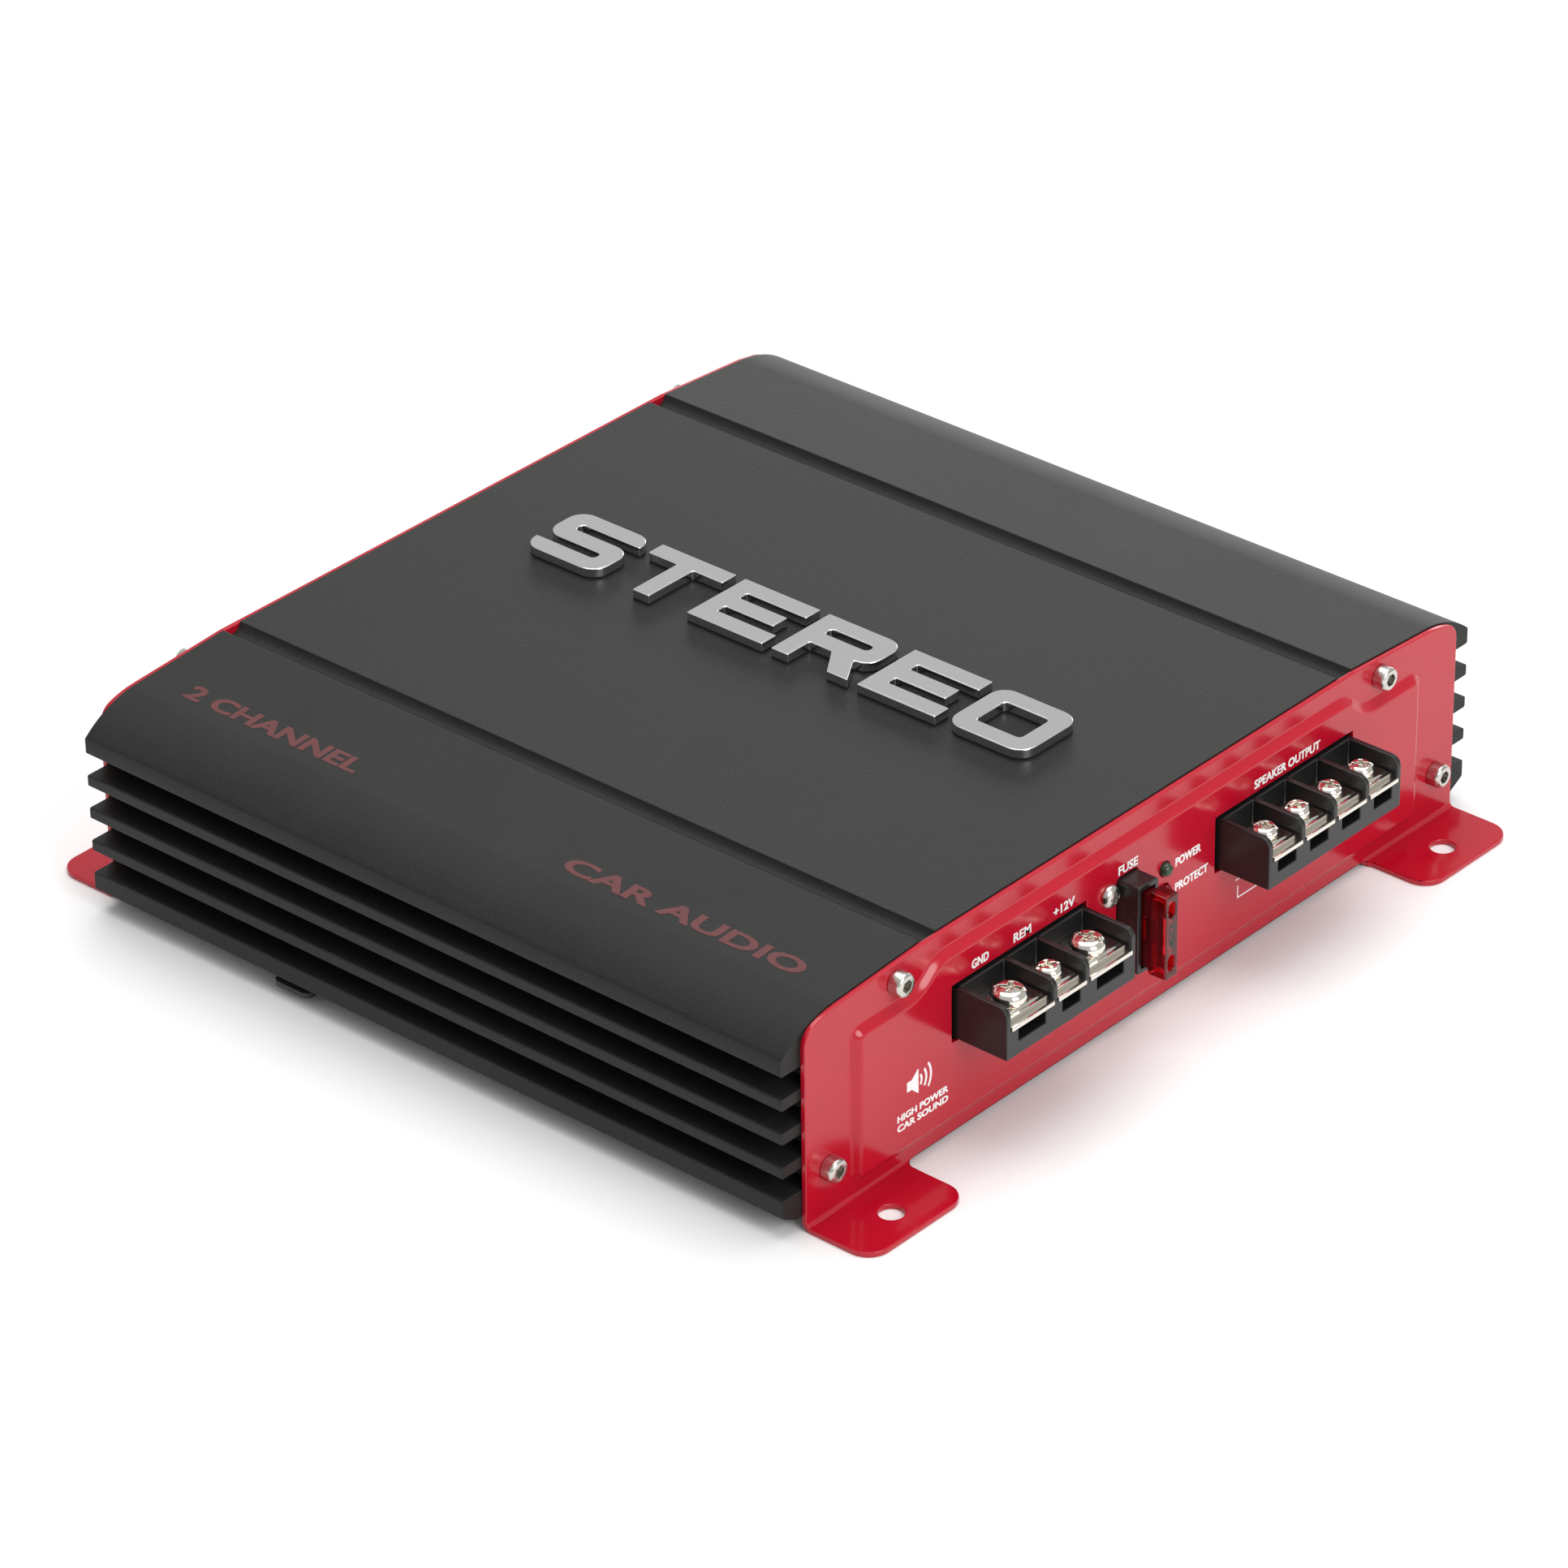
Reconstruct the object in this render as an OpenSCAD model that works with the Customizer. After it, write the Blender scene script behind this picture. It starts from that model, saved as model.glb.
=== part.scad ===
// Two-channel car amplifier: finned aluminium housing, folded end plates,
// screw terminals and blade fuse at +X, signal inputs and controls at -X.
// Millimetres. X runs along the extrusion, Z is up, Z = 0 is under the feet.

/* [Housing] */
// Length of the aluminium extrusion along X
sink_l = 187; // [186:0.5:190]
// Width of the extrusion over its fin tips
sink_w = 216; // [215:0.5:217]
// Height of the flat top above the mounting surface
sink_top_z = 48.7; // [48:0.1:50]
// Height of the extrusion's underside
sink_base_z = 3.2; // [3:0.1:3.6]
// Thickness of the top wall
top_wall = 4.2; // [3.5:0.1:4.5]
// Radius of the curve from the top to the side lip
skirt_r = 25; // [24:0.5:26]
// Distance of each side wall's outer face from the middle
wall_out_y = 98.5; // [98:0.5:99]
// Distance of each side wall's inner face from the middle
wall_in_y = 93.5; // [93:0.5:94]
// Thickness of one side fin
fin_t = 2.6; // [2.2:0.1:3]
// Spacing of the side fins
fin_pitch = 7.66; // [7.4:0.02:7.8]
// Distance of each top groove from the middle
groove_y = 65.4; // [60:0.2:66]
// Width of each top groove
groove_w = 4.8; // [4:0.1:6]
// Depth of each top groove
groove_d = 2; // [1:0.1:2.3]

/* [End plates] */
// Thickness of the folded steel sheet
sheet_t = 1.2; // [1:0.1:1.3]
// Half of the end plate's width
plate_half_w = 102.5; // [101:0.5:103]
// How far the middle panel is pressed outwards
emboss_h = 1.5; // [1.2:0.1:1.8]
// How far each mounting foot reaches from its plate
foot_reach = 16.3; // [15:0.1:18]
// Width of each mounting foot
foot_w = 29; // [26:0.5:30]
// Radius of the outer corners of a foot
foot_corner_r = 5; // [3:0.5:6]
// Diameter of the hole in each foot
foot_hole_d = 5.3; // [4.5:0.1:6]

/* [Terminals] */
// Height of a terminal block's underside
block_z = 24; // [23.8:0.1:24.4]
// Height of a terminal block
block_h = 11.5; // [11.3:0.1:12]
// How far a terminal block stands out of its plate
block_reach = 14.5; // [14.3:0.1:15]
// Thickness of a wall between two terminals
barrier_t = 1.3; // [1.2:0.1:1.4]
// Spacing of the speaker terminals
speaker_pitch = 10.5; // [10.4:0.1:10.6]

/* [Controls] */
// Diameter of a control knob
knob_d = 9; // [7:0.5:11]
// Travel of the crossover switch each way from its middle position
switch_travel = 2; // [1.5:0.1:2.2]

/* [Hidden] */
$fn = 48;
EPS = 0.01;

sink_x = sink_l / 2;
sink_y = sink_w / 2;
face_x = sink_x + sheet_t;
panel_x = face_x + emboss_h;

// skirt: a straight slope from the groove to slope_y, then one arc down to the lip
slope_y = 93;
slope_angle = 3.6;
groove_out_y = groove_y + groove_w / 2;
slope_z = sink_top_z - (slope_y - groove_out_y) * tan(slope_angle);
skirt_cy = slope_y - skirt_r * sin(slope_angle);
skirt_cz = slope_z - skirt_r * cos(slope_angle);
lip_z = 37.3;
fin_top_z = 32.3;
base_fin_z = 9.3;
base_chamfer_y = 4;
base_chamfer_z = 2.1;
cover_screw_x = [-80, 0, 80];
cover_screw_y = 95.5;

// cap screws of the end plates
cap_head_d = 5.2;
cap_head_h = 3;
cap_shank_r = 1.5;
cap_len = 14;
cap_places = [[76, 44], [96, 11.9]];
run_gap = 0.05;

// pressed panel of the end plates
panel_y = 89.7;
panel_low_z = 4.2;
panel_step_z = 39.7;
panel_high_z = 44.8;
notch_in_y = 64.9;
notch_out_y = 70.9;
press_slope = 2.5;

foot_mid_y = plate_half_w - foot_w / 2;
foot_hole_x = face_x + 8.9;
bend_r = 1;

// terminals: [middle of the bay, width of the bay, screw size index]
power_y0 = -60.3;
power_bays = [12.8, 8.5, 12.8];
power_w = power_bays[0] + power_bays[1] + power_bays[2] + 4 * barrier_t;
speaker_y0 = 21.4;
speaker_bay = speaker_pitch - barrier_t;
speaker_w = 4 * speaker_pitch + barrier_t;
block_x = face_x + block_reach;
block_back_x = 84;
block_wall_x = panel_x + 0.6;
block_top = block_z + block_h;
contact_z = 30.2;
contact_t = 1;
clamp_t = 1;
clamp_gap = 0.5;
head_z = contact_z + contact_t + clamp_t;
screw_x = face_x + 8.7;
function power_bay_y(i) = power_y0 + barrier_t * (i + 1)
    + (i > 0 ? power_bays[0] : 0) + (i > 1 ? power_bays[1] : 0) + power_bays[i] / 2;
function speaker_bay_y(i) = speaker_y0 + barrier_t + speaker_bay / 2 + i * speaker_pitch;

// terminal screws, large and small: head radius, head height, shank radius
big_screw = [3.8, 2.9, 1.95];
small_screw = [2.9, 2.3, 1.45];
shank_low_z = 25.4;

// blade fuse and its holder
fuse_y = -7.4;
fuse_z = 26.3;
fuse_front_x = face_x + 12.8;
fuse_head_w = 19.1;
fuse_body_w = 17;
fuse_head_t = 3.8;
fuse_body_t = 3.4;
fuse_head_l = 4.4;
fuse_body_l = 12.2;
blade_w = 5;
blade_t = 0.7;
blade_mid = 5.3;
blade_tip_x = fuse_front_x - 18.6;
holder_x = face_x + 6.8;
holder_back_x = 86.5;
holder_w = 6.3;
holder_h = 20.2;
holder_screw = [-13.2, 34];

// lamps
led_y = 4.4;
led_z = [32, 26.9];
led_r = 1.5;

// inside: the board and what stands on it
board_z = 12;
board_t = 1.6;
board_top = board_z + board_t;
board_x = [-92.5, 92.5];
board_half_y = 92.5;
standoff_places = [[-76, -78], [-76, 78], [4, -78], [4, 78], [76, -78], [76, 78]];
transistor_x = [-66, -48, -30, 30, 48, 66];
transistor_z = 17;
bar_screw_x = [-57, -39, 39, 57];
pad_t = 0.3;
transistor_t = 4.5;
bar_t = 2;
clamp_y = wall_in_y - pad_t - transistor_t;
bar_z = 22;
bar_h = 8;

// input end: jacks, knobs and switch, as distances from the middle
jack_y = [-56, -42];
jack_z = 26;
jack_screw = [(jack_y[0] + jack_y[1]) / 2, jack_z];
knob_y = [-14, 8, 30];
knob_z = 26;
switch_y = 54;
switch_z = 26;
control_x = -panel_x;

// badge
badge_word = "STEREO";
letter_h = 18.3;
letter_w = 20.5;
letter_gap = 2.5;
stroke = 4.5;
badge_mid = [-1, 5];
letter_t = 2.1;
tape_t = 0.3;

// ---- shared helpers ----

// turns a flat outline drawn as (Y, Z) into a solid from x0 to x1
module along_x(x0, x1) {
    translate([x0, 0, 0]) rotate([90, 0, 90]) linear_extrude(x1 - x0) children();
}

// a box given by its lowest and highest corners
module span(low, high) {
    translate(low) cube(high - low);
}

// a straight round bar along X
module rod_x(x0, x1, y, z, r) {
    translate([x0, y, z]) rotate([0, 90, 0]) cylinder(h = x1 - x0, r = r);
}

// a flat rounded rectangle from the origin
module round_box(w, h, r) {
    translate([r, 0]) square([w - 2 * r, h]);
    translate([0, r]) square([w, h - 2 * r]);
    for (x = [r, w - r], y = [r, h - r]) translate([x, y]) circle(r = r);
}

// the same on both sides of the middle plane
module both_sides() {
    children();
    mirror([0, 1, 0]) children();
}

// turns a piece made for the terminal end round to the input end
module at_input_end() {
    mirror([1, 0, 0]) children();
}

// ---- housing ----

// outside of the extrusion from its top down to z = low, from x0 to x1, its arcs cut
// off half_w from the middle
module top_solid(x0, x1, low, half_w) {
    along_x(x0, x1) polygon([[-slope_y, low], [-slope_y, slope_z],
        [-groove_out_y, sink_top_z], [groove_out_y, sink_top_z],
        [slope_y, slope_z], [slope_y, low]]);
    for (s = [-1, 1]) along_x(x0, x1) intersection() {
        translate([s * skirt_cy, skirt_cz]) circle(r = skirt_r);
        translate([s > 0 ? slope_y - 3 : -half_w, low])
            square([half_w - slope_y + 3, sink_top_z - low]);
    }
}

// one side of the extrusion: its wall, three thin fins and the thick base fin
module side_solid(s) {
    inner = wall_in_y - 3;
    along_x(-sink_x, sink_x)
        translate([s > 0 ? wall_in_y : -wall_out_y, sink_base_z])
        square([wall_out_y - wall_in_y, lip_z + 2 - sink_base_z]);
    for (i = [0 : 2]) along_x(-sink_x, sink_x)
        translate([s > 0 ? wall_out_y - 1 : -sink_y, fin_top_z - fin_t - i * fin_pitch])
        square([sink_y - wall_out_y + 1, fin_t]);
    along_x(-sink_x, sink_x) polygon([[s * inner, sink_base_z],
        [s * (sink_y - base_chamfer_y), sink_base_z],
        [s * sink_y, sink_base_z + base_chamfer_z], [s * sink_y, base_fin_z],
        [s * inner, base_fin_z]]);
    along_x(-sink_x, sink_x)
        translate([s * cap_places[0][0] - 3.4, cap_places[0][1] - 3.2]) square([6.8, 4]);
}

module heatsink() {
    cavity_z = sink_top_z - top_wall;
    groove_r = (groove_w * groove_w / 4 + groove_d * groove_d) / (2 * groove_d);
    color([0.12, 0.12, 0.12]) difference() {
        union() {
            difference() {
                top_solid(-sink_x, sink_x, lip_z, sink_y);
                along_x(-sink_x - 1, sink_x + 1) polygon([[-wall_in_y, lip_z - 1],
                    [-wall_in_y, cavity_z - 2], [-groove_y, cavity_z], [groove_y, cavity_z],
                    [wall_in_y, cavity_z - 2], [wall_in_y, lip_z - 1]]);
            }
            for (s = [-1, 1]) side_solid(s);
        }
        for (s = [-1, 1]) {
            rod_x(-sink_x - 1, sink_x + 1, s * groove_y, sink_top_z + groove_r - groove_d, groove_r);
            for (p = cap_places)
                rod_x(-sink_x - 1, sink_x + 1, s * p[0], p[1], cap_shank_r + run_gap);
        }
        both_sides() {
            for (x = bar_screw_x) translate([x, wall_in_y - 4, bar_z + bar_h / 2])
                rotate([-90, 0, 0]) cylinder(h = 7.5, r = 1.3);
            for (x = cover_screw_x) translate([x, cover_screw_y, sink_base_z - 1])
                cylinder(h = 6, r = 1.3);
        }
    }
}

module bottom_cover() {
    z0 = sink_base_z - sheet_t;
    color([0.1, 0.1, 0.1]) difference() {
        union() {
            span([-sink_x + 0.3, -wall_out_y + 1, z0], [sink_x - 0.3, wall_out_y - 1, sink_base_z]);
            translate([-44, -sink_y + 1, z0]) linear_extrude(sheet_t) round_box(10, 20, 2);
        }
        both_sides() for (x = cover_screw_x) translate([x, cover_screw_y, z0 - 1]) {
            cylinder(h = 4, r = 1.6);
            cylinder(h = 1.8, r = 2.8);
        }
        for (p = standoff_places) translate([p[0], p[1], z0 - 1]) cylinder(h = 4, r = 1.6);
    }
}

// pan screws that hold the bottom cover, their heads sunk flush
module bottom_cover_screws() {
    z0 = sink_base_z - sheet_t;
    color([0.2, 0.2, 0.2]) both_sides() for (x = cover_screw_x)
        translate([x, cover_screw_y, z0])
        difference() {
            union() {
                cylinder(h = 0.75, r = 2.6);
                cylinder(h = 6, r = 1.25);
            }
            for (a = [0, 90]) rotate([0, 0, a]) translate([-1.4, -0.3, -1]) cube([2.8, 0.6, 1.5]);
        }
}

// ---- end plates, made for the +X end ----

// the pressed middle panel as a solid, moved by dx
module pressed_panel(dx) {
    translate([face_x + dx, 0, 0]) rotate([90, 0, 90]) {
        hull() {
            linear_extrude(EPS) translate([-panel_y, panel_low_z])
                square([2 * panel_y, panel_step_z - panel_low_z]);
            translate([0, 0, emboss_h - EPS]) linear_extrude(EPS)
                translate([-panel_y + press_slope, panel_low_z + press_slope])
                square([2 * (panel_y - press_slope),
                    panel_step_z - panel_low_z - 2 * press_slope]);
        }
        hull() {
            linear_extrude(EPS) polygon([[-notch_out_y, panel_step_z - 8],
                [-notch_out_y, panel_step_z], [-notch_in_y, panel_high_z],
                [notch_in_y, panel_high_z], [notch_out_y, panel_step_z],
                [notch_out_y, panel_step_z - 8]]);
            translate([0, 0, emboss_h - EPS]) linear_extrude(EPS)
                polygon([[-notch_out_y + press_slope, panel_step_z - 8],
                [-notch_out_y + press_slope, panel_step_z - press_slope],
                [-notch_in_y + press_slope, panel_high_z - press_slope],
                [notch_in_y - press_slope, panel_high_z - press_slope],
                [notch_out_y - press_slope, panel_step_z - press_slope],
                [notch_out_y - press_slope, panel_step_z - 8]]);
        }
    }
}

// flat sheet of the plate: it follows the extrusion, with rounded shoulders
module plate_sheet() {
    corner_r = 4;
    corner_z = 41.8;
    intersection() {
        translate([0, 0, -0.3]) top_solid(sink_x, face_x, corner_z - 4, sink_y);
        span([sink_x, -plate_half_w + corner_r, 0], [face_x, plate_half_w - corner_r, sink_top_z]);
    }
    for (s = [-1, 1])
        rod_x(sink_x, face_x, s * (plate_half_w - corner_r), corner_z, corner_r);
    span([sink_x, -plate_half_w, sheet_t + bend_r], [face_x, plate_half_w, corner_z]);
    span([sink_x, -plate_half_w + foot_w, sheet_t],
        [face_x, plate_half_w - foot_w, sheet_t + 2 * bend_r]);
}

// one foot with its bend, its length limited by a plan with rounded corners
module foot() {
    difference() {
        intersection() {
            translate([0, foot_mid_y + foot_w / 2, 0]) rotate([90, 0, 0]) linear_extrude(foot_w)
                union() {
                    translate([face_x + bend_r, 0]) square([foot_reach - bend_r, sheet_t]);
                    intersection() {
                        difference() {
                            translate([face_x + bend_r, sheet_t + bend_r])
                                circle(r = sheet_t + bend_r);
                            translate([face_x + bend_r, sheet_t + bend_r]) circle(r = bend_r);
                        }
                        translate([sink_x - 1, -1]) square([sheet_t + bend_r + 1, sheet_t + bend_r + 1]);
                    }
                }
            translate([0, foot_mid_y - foot_w / 2, -1]) linear_extrude(10)
                translate([sink_x - 20, 0])
                round_box(20 + sheet_t + foot_reach, foot_w, foot_corner_r);
        }
        translate([foot_hole_x, foot_mid_y, -1]) cylinder(h = 4, d = foot_hole_d);
    }
}

module blank_plate() {
    difference() {
        union() {
            plate_sheet();
            pressed_panel(0);
            both_sides() foot();
        }
        pressed_panel(-sheet_t);
        both_sides() for (p = cap_places) rod_x(sink_x - 1, face_x + 1, p[0], p[1], 1.7);
    }
}

module terminal_end_plate() {
    color([0.72, 0.06, 0.12]) difference() {
        blank_plate();
        span([sink_x, power_y0 - 0.8, block_z - 0.7],
            [panel_x + 1, power_y0 + power_w + 0.8, block_top + 0.7]);
        span([sink_x, speaker_y0 - 0.8, block_z - 0.7],
            [panel_x + 1, speaker_y0 + speaker_w + 0.8, block_top + 0.7]);
        span([sink_x, fuse_y - holder_w / 2 - 0.2, fuse_z - holder_h / 2 - 0.2],
            [panel_x + 1, fuse_y + holder_w / 2 + 0.2, fuse_z + holder_h / 2 + 0.2]);
        for (z = led_z) rod_x(sink_x, panel_x + 1, led_y, z, led_r + 0.15);
        rod_x(sink_x, panel_x + 1, holder_screw[0], holder_screw[1], 1.6);
    }
}

module input_end_plate() {
    color([0.72, 0.06, 0.12]) at_input_end() difference() {
        blank_plate();
        for (y = jack_y) rod_x(sink_x, panel_x + 1, y, jack_z, 5.2);
        for (y = knob_y) rod_x(sink_x, panel_x + 1, y, knob_z, 3.2);
        span([sink_x, switch_y - 5, switch_z - 2], [panel_x + 1, switch_y + 5, switch_z + 2]);
        rod_x(sink_x, panel_x + 1, jack_screw[0], jack_screw[1], 1.6);
    }
}

// socket cap screw along X, its head outside the +X plate
module cap_screw() {
    difference() {
        union() {
            translate([face_x, 0, 0]) rotate([0, 90, 0]) rotate_extrude()
                polygon([[0, 0], [cap_head_d / 2, 0], [cap_head_d / 2, cap_head_h - 0.4],
                [cap_head_d / 2 - 0.4, cap_head_h], [0, cap_head_h]]);
            rod_x(sink_x - cap_len + 2, face_x, 0, 0, cap_shank_r);
        }
        translate([face_x + cap_head_h - 1.5, 0, 0]) rotate([0, 90, 0])
            cylinder(h = 2, r = 1.45, $fn = 6);
    }
}

module plate_screws() {
    both_sides() for (p = cap_places) translate([0, p[0], p[1]]) cap_screw();
}

module terminal_plate_screws() {
    color([0.75, 0.73, 0.7]) plate_screws();
}

module input_plate_screws() {
    color([0.75, 0.73, 0.7]) at_input_end() plate_screws();
}

// ---- terminals ----

// a wall between two bays, its top front corner rounded, from y to y + barrier_t
module barrier(y) {
    corner_r = 2;
    translate([0, y + barrier_t, 0]) rotate([90, 0, 0]) linear_extrude(barrier_t) {
        translate([block_wall_x - 1, block_z])
            square([block_x - block_wall_x + 1 - corner_r, block_h]);
        translate([block_x - corner_r - 1, block_z]) square([corner_r + 1, block_h - corner_r]);
        translate([block_x - corner_r, block_top - corner_r]) circle(r = corner_r);
    }
}

// the block's base, back wall and the part inside the housing, without its bays
module block_core(y0, w) {
    span([block_back_x, y0 + 0.4, board_top], [sink_x + 0.4, y0 + w - 0.4, block_top - 0.8]);
    span([sink_x, y0, block_z], [block_wall_x, y0 + w, block_top]);
    span([block_wall_x - 1, y0, block_z], [block_x, y0 + w, contact_z]);
}

// window under a contact plate and the well of its screw
module bay_cuts(y, bay, screw) {
    window_w = bay * 0.64;
    span([block_x - 9, y - window_w / 2, contact_z - 3.1],
        [block_x + 1, y + window_w / 2, contact_z + EPS]);
    translate([screw_x, y, shank_low_z - 0.6]) cylinder(h = 8, r = screw[2] + 0.4);
}

module power_terminal_block() {
    color([0.07, 0.07, 0.07]) difference() {
        union() {
            block_core(power_y0, power_w);
            barrier(power_y0);
            for (i = [0 : 2]) barrier(power_bay_y(i) + power_bays[i] / 2);
        }
        for (i = [0 : 2])
            bay_cuts(power_bay_y(i), power_bays[i], i == 1 ? small_screw : big_screw);
    }
}

module speaker_terminal_block() {
    color([0.07, 0.07, 0.07]) difference() {
        union() {
            block_core(speaker_y0, speaker_w);
            for (i = [0 : 4]) barrier(speaker_y0 + i * speaker_pitch);
        }
        for (i = [0 : 3]) bay_cuts(speaker_bay_y(i), speaker_bay, small_screw);
    }
}

// tapped plate under one terminal, its front edge just proud of the block
module contact_plate(y, bay, screw) {
    difference() {
        span([block_wall_x, y - bay / 2, contact_z],
            [block_x + 0.4, y + bay / 2, contact_z + contact_t]);
        translate([screw_x, y, contact_z - 1]) cylinder(h = 4, r = screw[2] + run_gap);
    }
}

module power_contact_plates() {
    color([0.78, 0.75, 0.68]) for (i = [0 : 2])
        contact_plate(power_bay_y(i), power_bays[i], i == 1 ? small_screw : big_screw);
}

module speaker_contact_plates() {
    color([0.78, 0.75, 0.68]) for (i = [0 : 3])
        contact_plate(speaker_bay_y(i), speaker_bay, small_screw);
}

// square washer held on the screw, with two serrations along its front
module clamp_washer(y, bay, screw) {
    half = bay / 2 - clamp_gap;
    z = contact_z + contact_t;
    color([0.78, 0.75, 0.68]) difference() {
        span([screw_x - 4.2, y - half, z], [screw_x + 4.8, y + half, z + clamp_t]);
        translate([screw_x, y, z - 1]) cylinder(h = 4, r = screw[2] + run_gap);
        for (x = [3.4, 4.2]) span([screw_x + x, y - half - 1, z + clamp_t - 0.3],
            [screw_x + x + 0.3, y + half + 1, z + clamp_t + 1]);
    }
}

// pan head screw with a cross recess crossed by a slot
module terminal_screw(y, screw) {
    r = screw[0];
    h = screw[1];
    color([0.78, 0.75, 0.68]) translate([screw_x, y, head_z]) difference() {
        union() {
            rotate_extrude() intersection() {
                union() {
                    translate([r - h * 0.62, h * 0.38]) circle(r = h * 0.62);
                    square([r - h * 0.62, h]);
                    square([r, h * 0.38]);
                }
                square([r, h]);
            }
            translate([0, 0, shank_low_z - head_z]) cylinder(h = head_z - shank_low_z + 1, r = screw[2]);
        }
        for (a = [0, 90]) rotate([0, 0, a])
            translate([-r * 0.5, -r * 0.13, h - 1.3]) cube([r, r * 0.26, 2]);
        translate([-r, -0.3, h - 0.6]) cube([2 * r, 0.6, 2]);
    }
}

module ground_screw() { terminal_screw(power_bay_y(0), big_screw); }
module ground_clamp() { clamp_washer(power_bay_y(0), power_bays[0], big_screw); }
module remote_screw() { terminal_screw(power_bay_y(1), small_screw); }
module remote_clamp() { clamp_washer(power_bay_y(1), power_bays[1], small_screw); }
module positive_screw() { terminal_screw(power_bay_y(2), big_screw); }
module positive_clamp() { clamp_washer(power_bay_y(2), power_bays[2], big_screw); }
module speaker_screw(i) { terminal_screw(speaker_bay_y(i), small_screw); }
module speaker_clamp(i) { clamp_washer(speaker_bay_y(i), speaker_bay, small_screw); }

// ---- fuse and lamps ----

module fuse_holder() {
    slot_t = fuse_body_t + 0.6;
    slot_w = fuse_body_w + 0.8;
    color([0.06, 0.06, 0.06]) difference() {
        translate([holder_back_x, 0, 0]) rotate([90, 0, 90])
            linear_extrude(holder_x - holder_back_x)
            translate([fuse_y - holder_w / 2, fuse_z - holder_h / 2])
            round_box(holder_w, holder_h, 0.8);
        span([fuse_front_x - fuse_body_l - 0.4, fuse_y - slot_t / 2, fuse_z - slot_w / 2],
            [holder_x + 1, fuse_y + slot_t / 2, fuse_z + slot_w / 2]);
        for (s = [-1, 1]) span([blade_tip_x - 0.5, fuse_y - 0.6, fuse_z + s * blade_mid - 2.9],
            [holder_x, fuse_y + 0.6, fuse_z + s * blade_mid + 2.9]);
    }
}

// small cross recess screw through the pressed panel at p = (Y, Z)
module panel_screw(p) {
    translate([panel_x, p[0], p[1]]) difference() {
        union() {
            rotate([0, 90, 0]) rotate_extrude() intersection() {
                union() {
                    translate([1.3, 0.5]) circle(r = 1.2);
                    square([1.3, 1.7]);
                    square([2.5, 0.5]);
                }
                square([2.5, 2]);
            }
            rod_x(-6, 0.5, 0, 0, 1.45);
        }
        for (a = [0, 90]) rotate([a, 0, 0]) translate([0.8, -1.3, -0.3]) cube([2, 2.6, 0.6]);
    }
}

module fuse_holder_screw() {
    color([0.75, 0.73, 0.7]) panel_screw(holder_screw);
}

// moulded body of the fuse: a wide head over a narrower body, hollow for its element
module fuse_body() {
    x0 = fuse_front_x - fuse_body_l;
    x1 = fuse_front_x - fuse_head_l;
    color([0.5, 0.02, 0.05, 0.8]) difference() {
        union() {
            span([x1, fuse_y - fuse_head_t / 2, fuse_z - fuse_head_w / 2],
                [fuse_front_x, fuse_y + fuse_head_t / 2, fuse_z + fuse_head_w / 2]);
            span([x0, fuse_y - fuse_body_t / 2, fuse_z - fuse_body_w / 2],
                [x1, fuse_y + fuse_body_t / 2, fuse_z + fuse_body_w / 2]);
        }
        span([x0 - 1, fuse_y - blade_t / 2 - 0.3, fuse_z - blade_mid - blade_w / 2 - 0.1],
            [fuse_front_x - 1.2, fuse_y + blade_t / 2 + 0.3, fuse_z + blade_mid + blade_w / 2 + 0.1]);
        for (s = [-1, 1]) translate([0, 0, s * 0.8]) for (d = [-0.8, 0.8])
            rod_x(fuse_front_x - 2, fuse_front_x + 1, fuse_y, fuse_z + s * blade_mid + d, 1.1);
    }
}

// the two blades and the thin link between them, one stamped piece
module fuse_element() {
    x1 = fuse_front_x - 1.4;
    color([0.75, 0.75, 0.74]) {
        for (s = [-1, 1]) span([blade_tip_x, fuse_y - blade_t / 2,
            fuse_z + s * blade_mid - blade_w / 2], [x1, fuse_y + blade_t / 2,
            fuse_z + s * blade_mid + blade_w / 2]);
        span([x1 - 6, fuse_y - blade_t / 2, fuse_z - blade_mid],
            [x1 - 5.2, fuse_y + blade_t / 2, fuse_z + blade_mid]);
    }
}

// round lamp with a domed end, on two legs that are bent down to the board
module lamp(z) {
    back = panel_x - 4;
    union() {
        rod_x(back, panel_x + 0.2, led_y, z, led_r);
        intersection() {
            translate([panel_x + 0.2, led_y, z]) sphere(r = led_r);
            span([back, led_y - 2, z - 2], [panel_x + 2, led_y + 2, z + 2]);
        }
        span([back, led_y - 1.9, z - 1.9], [back + 1, led_y + 1.9, z + 1.9]);
    }
}

module power_led() { color([0.2, 0.3, 0.22]) lamp(led_z[0]); }
module protect_led() { color([0.35, 0.03, 0.04]) lamp(led_z[1]); }

// ---- inside ----

module circuit_board() {
    color([0.1, 0.35, 0.15]) difference() {
        span([board_x[0], -board_half_y, board_z], [board_x[1], board_half_y, board_top]);
        for (p = standoff_places) translate([p[0], p[1], board_z - 1]) cylinder(h = 4, r = 1.6);
    }
}

module board_standoffs() {
    color([0.8, 0.7, 0.4]) for (p = standoff_places) translate([p[0], p[1], sink_base_z])
        difference() {
            cylinder(h = board_z - sink_base_z, r = 3, $fn = 6);
            translate([0, 0, -1]) cylinder(h = 12, r = 1.5);
        }
}

module board_screws() {
    color([0.75, 0.73, 0.7]) for (p = standoff_places) translate([p[0], p[1], 0]) {
        translate([0, 0, board_top]) difference() {
            cylinder(h = 1.8, r = 2.7);
            for (a = [0, 90]) rotate([0, 0, a]) translate([-1.5, -0.3, 0.9]) cube([3, 0.6, 2]);
        }
        translate([0, 0, board_top - 6]) cylinder(h = 6, r = 1.4);
        translate([0, 0, sink_base_z - sheet_t]) cylinder(h = 4, r = 1.4);
    }
}

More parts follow.
